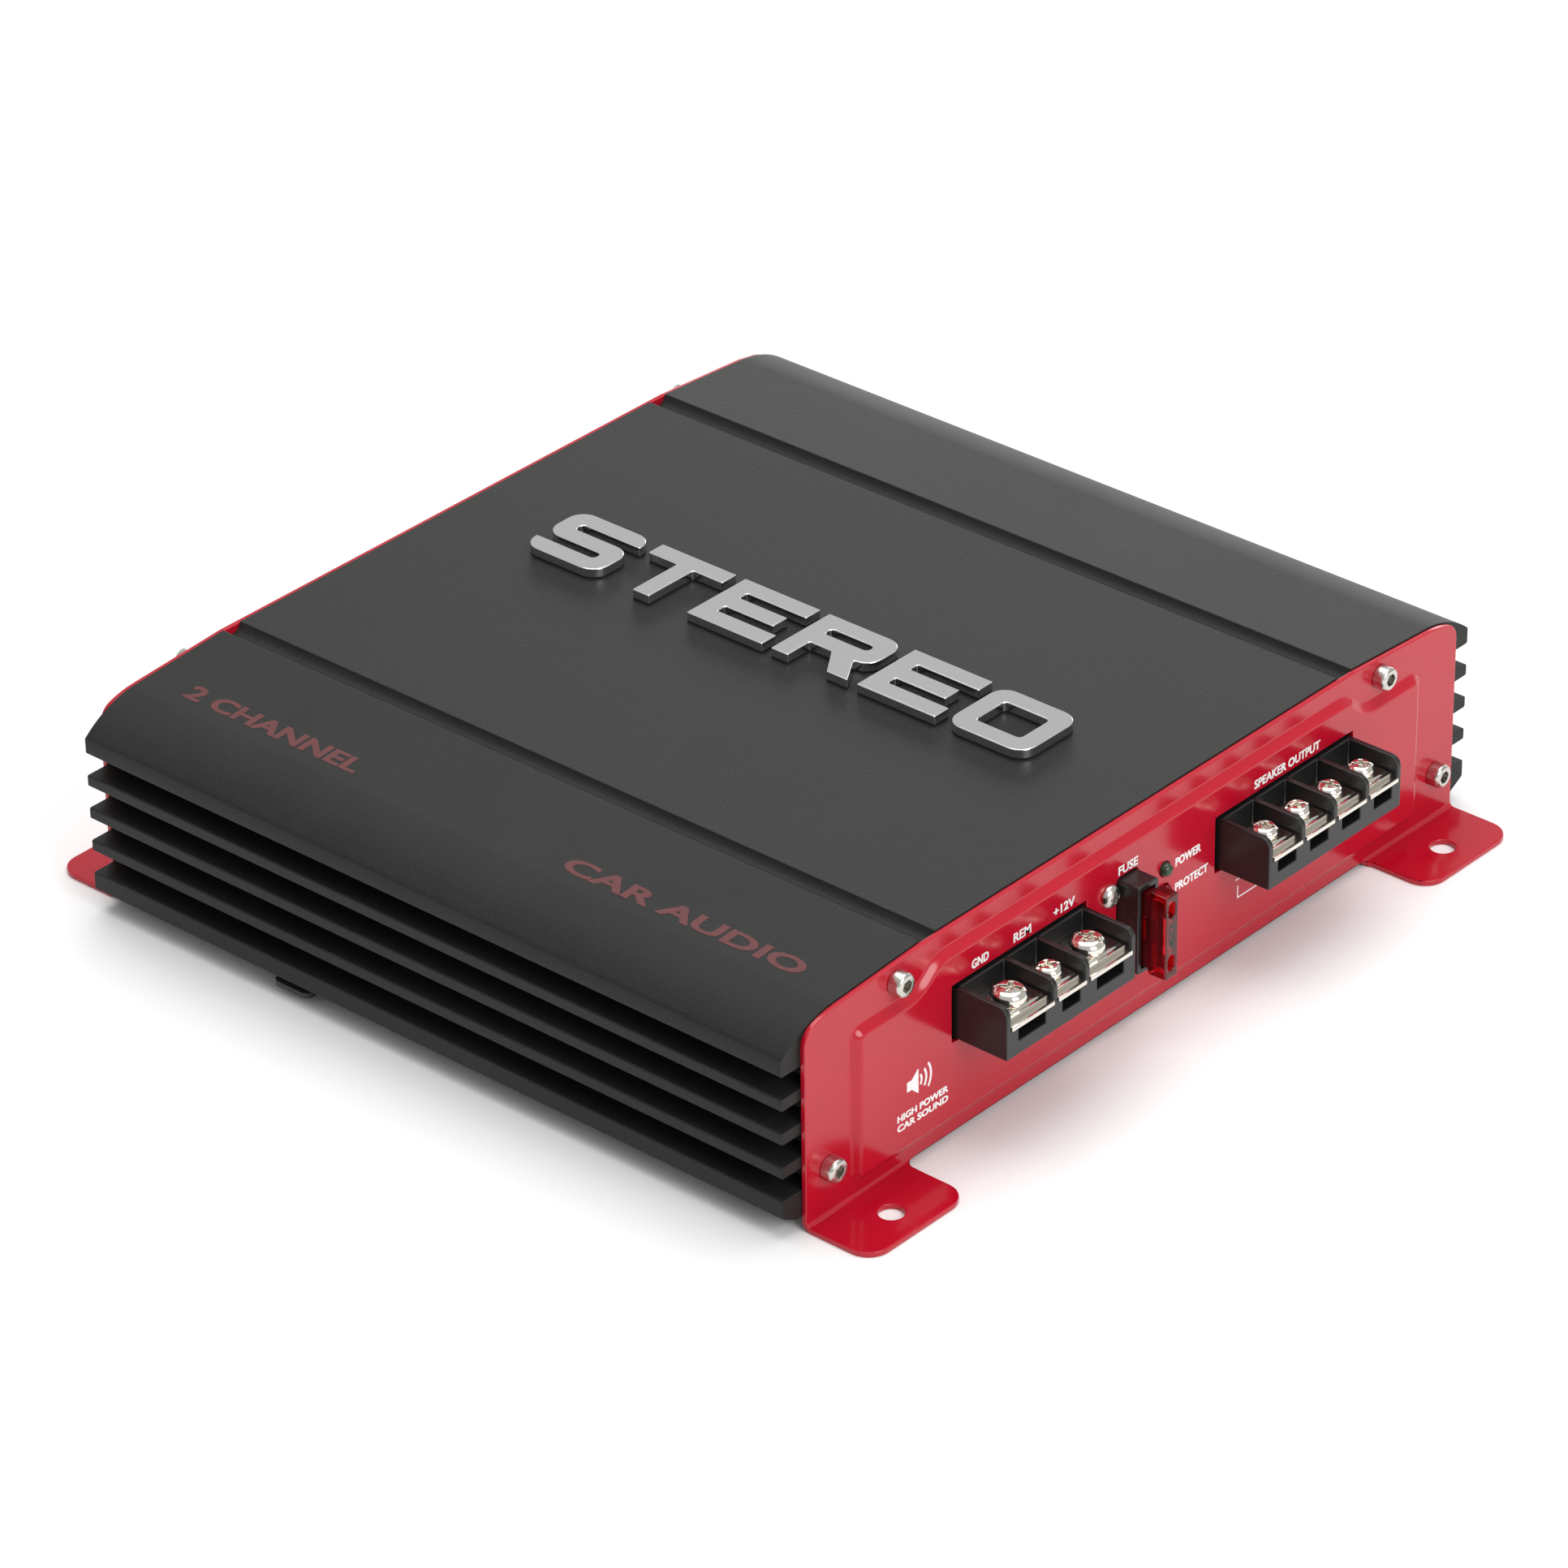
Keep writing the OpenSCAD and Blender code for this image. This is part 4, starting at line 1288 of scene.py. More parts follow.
@dataclass
class Housing:
    """The finned extrusion that carries everything."""

    half_length: float = 93.5
    top: float = 48.7
    underside: float = 3.2
    fin_tip: float = 108.0
    wall_out: float = 98.5
    wall_in: float = 93.5
    fin_thick: float = 2.6
    fin_tops: tuple[float, ...] = (16.98, 24.64, 32.3)
    lip: float = 37.3
    groove_middle: float = 65.4
    groove_half: float = 2.4
    groove_radius: float = 2.44
    slope_end: Point2 = (93.0, 47.115)
    skirt_centre: Point2 = (91.43, 22.164)
    skirt_radius: float = 25.0
    ports: tuple[Point2, ...] = ((76.0, 44.0), (96.0, 11.9))

    def right_side(self) -> list[tuple[float, float, float]]:
        """Outer corners on the right, from the foot of the wall to the top.

        Returns:
            (Y, Z, corner radius) of each.
        """
        path = [
            (90.5, self.underside, 0.0),
            (104.0, self.underside, 0.5),
            (self.fin_tip, 5.3, 0.5),
            (self.fin_tip, 9.3, 0.4),
            (self.wall_out, 9.3, 0.5),
        ]
        for fin in self.fin_tops:
            path += [
                (self.wall_out, fin - self.fin_thick, 0.5),
                (self.fin_tip, fin - self.fin_thick, 0.4),
                (self.fin_tip, fin, 0.4),
                (self.wall_out, fin, 0.5),
            ]
        path += [(self.wall_out, self.lip, 0.8), (self.fin_tip, self.lip, 0.5)]
        cy, cz = self.skirt_centre
        for i in range(15):
            turn = math.radians(48.5 + (86.4 - 48.5) * i / 14)
            path.append(
                (cy + self.skirt_radius * math.cos(turn),
                 cz + self.skirt_radius * math.sin(turn), 0.0)
            )
        rise = self.groove_radius - 2.0
        for i in range(11):
            across = self.groove_half * math.cos(math.pi * i / 10)
            down = math.sqrt(max(0.0, self.groove_radius**2 - across**2))
            path.append((self.groove_middle + across, self.top + rise - down,
                         0.25 if i in (0, 10) else 0.0))
        return path

    def profile(self) -> Outline:
        """The closed section of the extrusion."""
        right = self.right_side()
        left = [(-y, z, r) for y, z, r in reversed(right)]
        boss_low, boss_y, half = 40.8, self.ports[0][0], 3.4
        ceiling = [
            (-90.5, 9.3, 0.0), (-self.wall_in, 9.3, 0.4), (-self.wall_in, 42.5, 1.0),
            (-boss_y - half, 43.4, 0.0), (-boss_y - half, boss_low, 0.4),
            (-boss_y + half, boss_low, 0.4), (-boss_y + half, 43.75, 0.0),
            (-self.groove_middle, 44.5, 0.0), (self.groove_middle, 44.5, 0.0),
            (boss_y - half, 43.75, 0.0), (boss_y - half, boss_low, 0.4),
            (boss_y + half, boss_low, 0.4), (boss_y + half, 43.4, 0.0),
            (self.wall_in, 42.5, 1.0), (self.wall_in, 9.3, 0.4), (90.5, 9.3, 0.0),
        ]
        path = [*right, *left, *ceiling]
        return Outline(
            tuple((y, z) for y, z, _ in path), tuple(r for _, _, r in path), 3
        )

    def build(self) -> None:
        """Makes the extrusion, dresses its cover and the cover's screws."""
        work = Workpiece()
        edges = work.wire(self.profile().loop(Plane.FRONT, -self.half_length))
        for side in (-1.0, 1.0):
            for y, z in self.ports:
                edges += work.ring(
                    Plane.FRONT, (side * y, z), -self.half_length, 1.55, 20
                )
        faces = work.fill(edges, Plane.FRONT.normal)
        work.draw_out(faces, Vector((2 * self.half_length, 0, 0)))
        work.piece("finned_housing", Finishes.HOUSING, stands_for=["heatsink"],
                   edge=0.15, sharp=50, clamp=True)
        keep("bottom_cover", Finishes.COVER)
        keep("bottom_cover_screws", Finishes.DARK_SCREW)


def keep(node: str, finish: Finish) -> None:
    """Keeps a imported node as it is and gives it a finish.

    Args:
        node: the node's name.
        finish: its finish.
    """
    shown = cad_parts[node]
    shown.data.materials.clear()
    shown.data.materials.append(finish.material())
    LOG.info("%s kept, dressed in %s", node, finish.name)


# ---------------------------------------------------------------- end plates


@dataclass
class EndPlate:
    """A pressed steel sheet with a raised panel and two folded feet."""

    name: str
    node: str
    windows: tuple[Outline, ...]
    holes: tuple[tuple[Point2, float], ...]
    at_input_end: bool = False
    face: float = 94.7
    rise: float = 1.5
    sheet: float = 1.2
    half_width: float = 102.5
    bend: float = 1.0
    bend_top: float = 2.2
    foot_inner: float = 73.5
    foot_end: float = 111.0
    foot_hole: float = 103.6
    slope: float = 2.5
    steps: int = 8

    @property
    def bend_length(self) -> float:
        """Length of the skin round the bend."""
        return self.bend * math.pi / 2

    @property
    def tab_end(self) -> float:
        """Height of a foot's end while the sheet is still flat."""
        return self.bend_top - self.bend_length - (
            self.foot_end - self.face - self.bend
        )

    def blank(self) -> Outline:
        """The flat blank with both feet as straight tabs."""
        w, top = self.half_width, 48.4
        arc = [(93.0, 46.815), (94.6, 46.66), (96.2, 46.4), (97.8, 46.04), (99.3, 45.58)]
        half = [(w, 44.3, 4.0), *[(y, z, 0.0) for y, z in reversed(arc)], (67.8, top, 1.0)]
        over = [*half, *[(-y, z, r) for y, z, r in reversed(half)]]
        path = [
            (-self.foot_inner, 1.2, 1.8), (self.foot_inner, 1.2, 1.8),
            (self.foot_inner, self.tab_end, 5.0), (w, self.tab_end, 5.0), *over,
            (-w, self.tab_end, 5.0), (-self.foot_inner, self.tab_end, 5.0),
        ]
        return Outline(tuple((y, z) for y, z, _ in path), tuple(r for _, _, r in path), 7)

    def raised(self) -> Outline:
        """Outer line of the pressed panel's slope."""
        half = [(89.9, 4.0, 3.0), (89.9, 39.9, 3.6), (70.8, 39.9, 7.0), (64.8, 45.0, 8.0)]
        path = [*half, *[(-y, z, r) for y, z, r in reversed(half)]]
        return Outline(tuple((y, z) for y, z, _ in path), tuple(r for _, _, r in path), 6)

    def skin(self) -> Workpiece:
        """The outer skin with its panel pressed out, before folding."""
        work = Workpiece()
        press = work.bm.faces.new(
            [work.bm.verts.new(p) for p in self.raised().loop(Plane.FRONT, self.face)]
        )
        moves = [(0.12, 0.0)]
        for i in range(self.steps):
            now, after = (t * t * (3 - 2 * t) for t in (i / self.steps, (i + 1) / self.steps))
            moves.append((self.slope / self.steps, self.rise * (after - now)))
        moves.append((0.12, 0.0))
        for inset, depth in moves:
            bmesh.ops.inset_region(
                work.bm, faces=[press], thickness=inset, depth=0.0,
                use_even_offset=True, use_boundary=True,
            )
            bmesh.ops.translate(work.bm, verts=press.verts[:], vec=(depth, 0, 0))
        rim = list(press.edges)
        bmesh.ops.delete(work.bm, geom=[press], context="FACES_ONLY")
        low = [e for e in work.bm.edges if e.is_boundary and e not in rim]
        high = self.face + self.rise
        for window in self.windows:
            rim += work.wire(window.loop(Plane.FRONT, high))
        for centre, radius in self.holes:
            rim += work.ring(Plane.FRONT, centre, high, radius, 32)
        work.fill(rim, Plane.FRONT.normal)
        low += work.wire(self.blank().loop(Plane.FRONT, self.face))
        hole_z = self.bend_top - self.bend_length - (self.foot_hole - self.face - self.bend)
        for side in (-1.0, 1.0):
            for centre, radius in (((76.0, 44.0), 1.7), ((96.0, 11.9), 1.7),
                                   ((88.0, hole_z), 2.65)):
                low += work.ring(
                    Plane.FRONT, (side * centre[0], centre[1]), self.face, radius, 32
                )
        work.fill(low, Plane.FRONT.normal)
        return work

    def fold(self, work: Workpiece) -> None:
        """Cuts rows across the bend and folds the feet outwards.

        Args:
            work: the flat skin.
        """
        end = self.bend_top - self.bend_length
        hole = end - (self.foot_hole - self.face - self.bend)
        rows = [self.bend_top - self.bend_length * i / 7 for i in range(8)]
        columns = [self.foot_inner - 0.6 * i for i in range(6)]
        for level in (*rows, end - 0.5, hole + 4.2, hole - 4.2):
            bmesh.ops.bisect_plane(
                work.bm, geom=[*work.bm.verts, *work.bm.edges, *work.bm.faces],
                dist=1e-4, plane_co=(0, 0, level), plane_no=(0, 0, 1),
            )
        for side in (-1.0, 1.0):
            for column in (*columns, self.foot_inner + 0.5, 83.8, 92.2):
                low = [f for f in work.bm.faces
                       if all(v.co.z < self.bend_top + 0.01 for v in f.verts)]
                bmesh.ops.bisect_plane(
                    work.bm,
                    geom=[*{v for f in low for v in f.verts},
                          *{e for f in low for e in f.edges}, *low],
                    dist=1e-4, plane_co=(0, side * column, 0),
                    plane_no=(0, 1, 0),
                )
        for vert in work.bm.verts:
            along = self.bend_top - vert.co.z
            if along <= 1e-6:
                continue
            share = min(1.0, max(0.0, (abs(vert.co.y) - self.foot_inner + 3.0) / 3.0))
            share = share * share * (3 - 2 * share)
            turn = min(along / self.bend, math.pi / 2)
            folded = Vector((
                self.face + self.bend * (1 - math.cos(turn))
                + max(0.0, along - self.bend_length),
                vert.co.y, self.bend_top - self.bend * math.sin(turn),
            ))
            vert.co = vert.co.lerp(folded, share)

    def build(self) -> None:
        """Makes the plate."""
        work = self.skin()
        bmesh.ops.remove_doubles(work.bm, verts=work.bm.verts[:], dist=1e-4)
        self.fold(work)
        bmesh.ops.recalc_face_normals(work.bm, faces=work.bm.faces[:])
        if sum(f.normal.x * f.calc_area() for f in work.bm.faces) < 0:
            bmesh.ops.reverse_faces(work.bm, faces=work.bm.faces[:])
        if self.at_input_end:
            work.mirrored()
        work.piece(self.name, Finishes.RED, stands_for=[self.node], wall=self.sheet,
                   edge=0.24, edge_steps=3, sharp=50, clean=False)


@dataclass
class PlateScrews:
    """The four socket screws of one end plate."""

    name: str
    node: str
    at_input_end: bool = False
    face: float = 94.7
    head: float = 2.6
    tall: float = 3.0
    shank: float = 1.5

    def screw(self) -> Workpiece:
        """One screw along X at the origin."""
        r, h = self.head, self.tall
        work = Workpiece().lathe(
            [(0, h), (r - 0.75, h), (r - 0.42, h - 0.1), (r - 0.12, h - 0.42),
             (r, h - 0.8), (r, 0.15), (r - 0.15, 0), (self.shank, 0), (self.shank, -9.8),
             (self.shank - 0.4, -10.2), (0, -10.2)],
            (self.face, 0, 0), (1, 0, 0), 36,
        )
        return work.cut(Workpiece().rod(
            (self.face + h - 2.4, 0, 0), (self.face + h + 1, 0, 0), 1.42, segments=6))

    def build(self) -> None:
        """Makes the four screws as one piece."""
        made = Workpiece()
        for side in (-1.0, 1.0):
            for y, z in ((76.0, 44.0), (96.0, 11.9)):
                one = self.screw()
                turn = Matrix.Rotation(0.4 * side + y, 4, "X")
                bmesh.ops.transform(one.bm, matrix=turn, verts=one.bm.verts[:])
                bmesh.ops.translate(one.bm, verts=one.bm.verts[:], vec=(0, side * y, z))
                made.add(one)
        if self.at_input_end:
            made.mirrored()
        made.piece(self.name, Finishes.NICKEL, stands_for=[self.node], edge=0.05, sharp=40)


@dataclass
class PanelScrew:
    """A small cross recess screw on a pressed panel."""

    name: str
    node: str
    place: Point2
    at_input_end: bool = False
    panel: float = 96.2

    def build(self) -> None:
        """Makes the screw."""
        work = Workpiece().lathe(
            [(0, 1.7), (0.9, 1.66), (1.5, 1.5), (2.0, 1.2), (2.35, 0.75), (2.5, 0.3),
             (2.5, 0), (1.45, 0), (1.45, -6), (0, -6)],
            (self.panel, *self.place), (1, 0, 0), 32,
        )
        y, z = self.place
        cross = Workpiece().block((self.panel + 0.8, y - 1.25, z - 0.28),
                                  (self.panel + 3, y + 1.25, z + 0.28))
        cross.join(Workpiece().block((self.panel + 0.8, y - 0.28, z - 1.25),
                                     (self.panel + 3, y + 0.28, z + 1.25)))
        work.cut(cross)
        if self.at_input_end:
            work.mirrored()
        work.piece(self.name, Finishes.NICKEL, stands_for=[self.node], edge=0.05, sharp=40)


# ----------------------------------------------------------------- terminals


@dataclass(frozen=True)
class ScrewSize:
    """Head radius, head height and shank radius of a terminal screw."""

    head: float
    tall: float
    shank: float


BIG = ScrewSize(3.8, 2.9, 1.95)
SMALL = ScrewSize(2.9, 2.3, 1.45)


@dataclass
class Terminal:
    """One terminal: its bay in the block, its clamp and its screw."""

    body: str
    screw_node: str
    clamp_node: str
    middle: float
    bay: float
    size: ScrewSize
    axis_x: float = 103.4
    seat: float = 32.2
    turn: float = 0.0

    def clamp(self) -> None:
        """Makes the square washer with its ribbed front."""
        half = self.bay / 2 - 0.5
        low = self.seat - 1.0
        section = Outline((
            (99.2, low), (108.2, low), (108.2, self.seat), (107.5, self.seat),
            (107.15, low + 0.6), (106.8, self.seat), (99.2, self.seat),
        ))
        work = Workpiece().prism(section, Plane.SIDE, self.middle - half, self.middle + half)
        work.cut(Workpiece().rod(
            (self.axis_x, self.middle, 30), (self.axis_x, self.middle, 34),
            self.size.shank + 0.05))
        work.piece(self.clamp_node + "_washer", Finishes.TERMINAL,
                   f"{self.body}_terminal_clamp", [self.clamp_node], edge=0.12, sharp=30)

    def screw(self) -> None:
        """Makes the pan head screw with its cross and slot."""
        r, h, s = self.size.head, self.size.tall, self.size.shank
        profile = [(0.0, h), (r * 0.35, h - 0.03), (r * 0.55, h - 0.12)]
        for i in range(7):
            turn = math.radians(80 - 80 * i / 6)
            profile.append((r - h * 0.6 + h * 0.6 * math.cos(turn),
                            h * 0.36 + h * 0.6 * math.sin(turn)))
        profile += [(r, 0.2), (r - 0.2, 0.0), (s, 0.0), (s, 26.0 - self.seat),
                    (s - 0.4, 25.4 - self.seat), (0.0, 25.4 - self.seat)]
        work = Workpiece().lathe(profile, (self.axis_x, self.middle, self.seat), steps=48)
        x, y, z = self.axis_x, self.middle, self.seat
        tools = [
            Workpiece().block((x - r * 0.52, y - r * 0.13, z + h - 1.3),
                              (x + r * 0.52, y + r * 0.13, z + h + 1)),
            Workpiece().block((x - r * 0.13, y - r * 0.52, z + h - 1.3),
                              (x + r * 0.13, y + r * 0.52, z + h + 1)),
            Workpiece().block((x - r - 1, y - 0.34, z + h - 0.65),
                              (x + r + 1, y + 0.34, z + h + 1)),
        ]
        cross = tools[0].join(tools[1]).join(tools[2])
        middle = Matrix.Translation((x, y, 0))
        twist = middle @ Matrix.Rotation(self.turn, 4, "Z") @ middle.inverted()
        bmesh.ops.transform(cross.bm, matrix=twist, verts=cross.bm.verts[:])
        work.cut(cross)
        work.piece(self.screw_node + "_head", Finishes.TERMINAL,
                   f"{self.body}_terminal_screw", [self.screw_node], edge=0.1, sharp=40)


@dataclass
class TerminalBlock:
    """A moulded block with a row of terminals."""

    name: str
    node: str
    plates_node: str
    start: float
    terminals: tuple[Terminal, ...]
    wall: float = 1.3
    low: float = 24.0
    high: float = 35.5
    shelf: float = 30.2
    back: float = 96.8
    front: float = 109.2

    @property
    def end(self) -> float:
        """The block's far side."""
        return self.terminals[-1].middle + self.terminals[-1].bay / 2 + self.wall

    def comb(self) -> Outline:
        """Front view of the shelf and the walls between the bays."""
        path = [(self.start, self.low), (self.end, self.low), (self.end, self.high)]
        for t in reversed(self.terminals):
            left, right = t.middle - t.bay / 2, t.middle + t.bay / 2
            path += [(right, self.high), (right, self.shelf), (left, self.shelf),
                     (left, self.high)]
        path.append((self.start, self.high))
        return Outline(tuple(path))

    def build(self) -> None:
        """Makes the block, its contact plates and every terminal."""
        work = Workpiece().prism(self.comb(), Plane.FRONT, 96.0, self.front).tidy()
        work.round_edges(
            lambda e: all(v.co.x > self.front - 0.01 and v.co.z > self.high - 0.01
                          for v in e.verts), 2.1, 6)
        work.join(Workpiece().block((93.5, self.start, self.low),
                                    (self.back, self.end, self.high)))
        work.join(Workpiece().block((84.0, self.start + 0.4, 13.6),
                                    (93.9, self.end - 0.4, self.high - 0.8)))
        cutter = Workpiece()
        for t in self.terminals:
            half = t.bay * 0.32
            cutter.block((100.2, t.middle - half, 27.1), (112.0, t.middle + half, self.shelf - 0.45))
        work.cut(cutter)
        wells = Workpiece()
        for t in self.terminals:
            wells.rod((t.axis_x, t.middle, 24.8), (t.axis_x, t.middle, 33), t.size.shank + 0.4)
        work.cut(wells)
        work.piece(self.name, Finishes.BLOCK, stands_for=[self.node], edge=0.22,
                   edge_steps=3, sharp=40)
        plates = Workpiece()
        for t in self.terminals:
            half = t.bay / 2
            section = Outline((
                (self.back, 30.2), (109.6, 30.2), (109.6, 31.2), (self.back, 31.2)))
            one = Workpiece().prism(section, Plane.SIDE, t.middle - half, t.middle + half)
            one.cut(Workpiece().rod((t.axis_x, t.middle, 29), (t.axis_x, t.middle, 33),
                                    t.size.shank + 0.05))
            plates.add(one)
        plates.piece(self.name + "_contacts", Finishes.TERMINAL,
                     stands_for=[self.plates_node], edge=0.14, sharp=30)
        for t in self.terminals:
            t.clamp()
            t.screw()


# ------------------------------------------------------------ fuse and lamps


@dataclass
class FuseAndHolder:
    """The blade fuse standing in its open holder."""

    y: float = -7.4
    z: float = 26.3
    front: float = 107.5

    def build(self) -> None:
        """Makes the holder and the fuse."""
        y, z = self.y, self.z
        holder = Workpiece().prism(
            rectangle((y - 3.15, z - 10.1), (y + 3.15, z + 10.1), 0.8),
            Plane.FRONT, 86.5, 101.5)
        holder.cut(Workpiece().block((94.9, y - 2.0, z - 8.9), (103.0, y + 2.0, z + 8.9)))
        slits = Workpiece()
        for side in (-1.0, 1.0):
            mid = z + side * 5.3
            slits.block((88.4, y - 0.6, mid - 2.9), (95.5, y + 0.6, mid + 2.9))
        holder.cut(slits)
        holder.piece("fuse_holder_shell", Finishes.HOLDER, stands_for=["fuse_holder"],
                     edge=0.25, edge_steps=3, sharp=40)
        work = Workpiece().block((self.front - 12.2, y - 1.7, z - 8.5),
                                 (self.front - 4.0, y + 1.7, z + 8.5))
        work.join(Workpiece().block((self.front - 4.4, y - 1.9, z - 9.55),
                                    (self.front, y + 1.9, z + 9.55)))
        work.cut(Workpiece().block((self.front - 13, y - 0.65, z - 7.9),
                                   (self.front - 1.2, y + 0.65, z + 7.9)))
        waist = Workpiece()
        for side in (-1.0, 1.0):
            waist.block((self.front - 9.6, y + side * 2.05 - 0.55, z - 2.6),
                        (self.front - 4.6, y + side * 2.05 + 0.55, z + 2.6))
        work.cut(waist)
        for side in (-1.0, 1.0):
            mid = z + side * 6.1
            slot = Outline(
                ((y - 1.05, mid - 1.75), (y + 1.05, mid - 1.75),
                 (y + 1.05, mid + 1.75), (y - 1.05, mid + 1.75)), 1.04, 6)
            work.cut(Workpiece().prism(slot, Plane.FRONT, self.front - 2.4, self.front + 1))
        work.piece("fuse_moulding", Finishes.FUSE, "fuse", ["fuse_body"], edge=0.3,
                   edge_steps=3, sharp=40)
        flat = Matrix(((0, 0, 1, self.front - 0.01), (0, -1, 0, y), (1, 0, 0, z), (0, 0, 0, 1)))
        lettering("fuse_number", "40", (-2.9, -1.0), (2.9, 1.0), flat, Finishes.HOLDER,
                  0.012, "fuse", bold=0.09)
        keep("fuse_element", Finishes.BLADE)


@dataclass
class Lamp:
    """A round indicator lamp."""

    name: str
    node: str
    finish: Finish
    z: float
    y: float = 4.4

    def build(self) -> None:
        """Makes the lamp with its domed end."""
        dome = [(1.5 * math.sin(math.radians(a)), 0.2 + 1.5 * math.cos(math.radians(a)))
                for a in range(0, 91, 10)]
        Workpiece().lathe(
            [*dome, (1.5, -3.0), (1.9, -3.0), (1.9, -4.0), (0, -4.0)],
            (96.2, self.y, self.z), (1, 0, 0), 32,
        ).piece(self.name, self.finish, stands_for=[self.node], sharp=40)


# ------------------------------------------------------------------ the badge


@dataclass
class Badge:
    """Six plain block letters on black tape."""

    word: str = "STEREO"
    wide: float = 20.5
    tall: float = 18.3
    gap: float = 2.5
    stroke: float = 4.5
    middle: Point2 = (-1.0, 5.0)
    bottom: float = 48.7
    tape: float = 0.3
    thick: float = 2.1

    def shapes(self, letter: str) -> tuple[Outline, tuple[Outline, ...]]:
        """Outline and holes of one letter.

        Args:
            letter: the letter.

        Returns:
            Its outline and its holes, from the origin.
        """
        w, h, s = self.wide, self.tall, self.stroke
        lobe = (h + s) / 2
        step = h - lobe
        gap = lobe - 2 * s
        stem = (w - s) / 2
        holes: tuple[Outline, ...] = ()
        if letter == "S":
            path = [(0, 0, 4), (w, 0, 4), (w, lobe, 4), (s, lobe, 1), (s, lobe + gap, 1),
                    (w, lobe + gap, 0.4), (w, h, 4), (0, h, 4), (0, step, 4),
                    (w - s, step, 1), (w - s, step - gap, 1), (0, step - gap, 0.4)]
        elif letter == "T":
            path = [(stem, 0, 0.3), (stem + s, 0, 0.3), (stem + s, h - s, 0.6),
                    (w, h - s, 0.3), (w, h, 0.3), (0, h, 0.3), (0, h - s, 0.3),
                    (stem, h - s, 0.6)]
        elif letter == "E":
            path = [(0, 0, 0.3), (w, 0, 0.3), (w, s, 0.3), (s, s, 0.5), (s, step, 0.5),
                    (w - 3, step, 0.3), (w - 3, lobe, 0.3), (s, lobe, 0.5),
                    (s, h - s, 0.5), (w, h - s, 0.3), (w, h, 0.3), (0, h, 0.3)]
        elif letter == "R":
            path = [(0, 0, 0.3), (s, 0, 0.3), (s, step, 0.5), (10.35, step, 0.5),
                    (w - s - 1, 0, 0.3), (w, 0, 0.3), (16.24, step, 0.5), (w, step, 4),
                    (w, h, 4), (0, h, 0.3)]
            holes = (rectangle((s, lobe), (w - s, lobe + gap), 1.0),)
        else:
            path = [(0, 0, 4), (w, 0, 4), (w, h, 4), (0, h, 4)]
            holes = (rectangle((s, s), (w - s, h - s), 1.0),)
        return Outline(
            tuple((x, y) for x, y, _ in path), tuple(float(r) for _, _, r in path), 7
        ), holes

    def layer(self, low: float, high: float) -> Workpiece:
        """The whole word as a flat layer.

        Args:
            low: its underside.
            high: its top.

        Returns:
            The layer.
        """
        count = len(self.word)
        start = self.middle[0] - (count * self.wide + (count - 1) * self.gap) / 2
        work = Workpiece()
        for i, letter in enumerate(self.word):
            outline, holes = self.shapes(letter)
            du, dv = start + i * (self.wide + self.gap), self.middle[1] - self.tall / 2
            work.pierced_prism(outline.moved(du, dv), [o.moved(du, dv) for o in holes],
                               Plane.TOP, low, high)
        return work

    def build(self) -> None:
        """Makes the tape and the letters."""
        seat = self.bottom + self.tape
        self.layer(self.bottom, seat).piece(
            "badge_tape_layer", Finishes.TAPE, stands_for=["badge_adhesive"], sharp=30)
        self.layer(seat, seat + self.thick).piece(
            "badge_letters_plated", Finishes.BADGE, stands_for=["badge_letters"],
            edge=0.16, edge_steps=2, sharp=40)


# -------------------------------------------------------------- input end


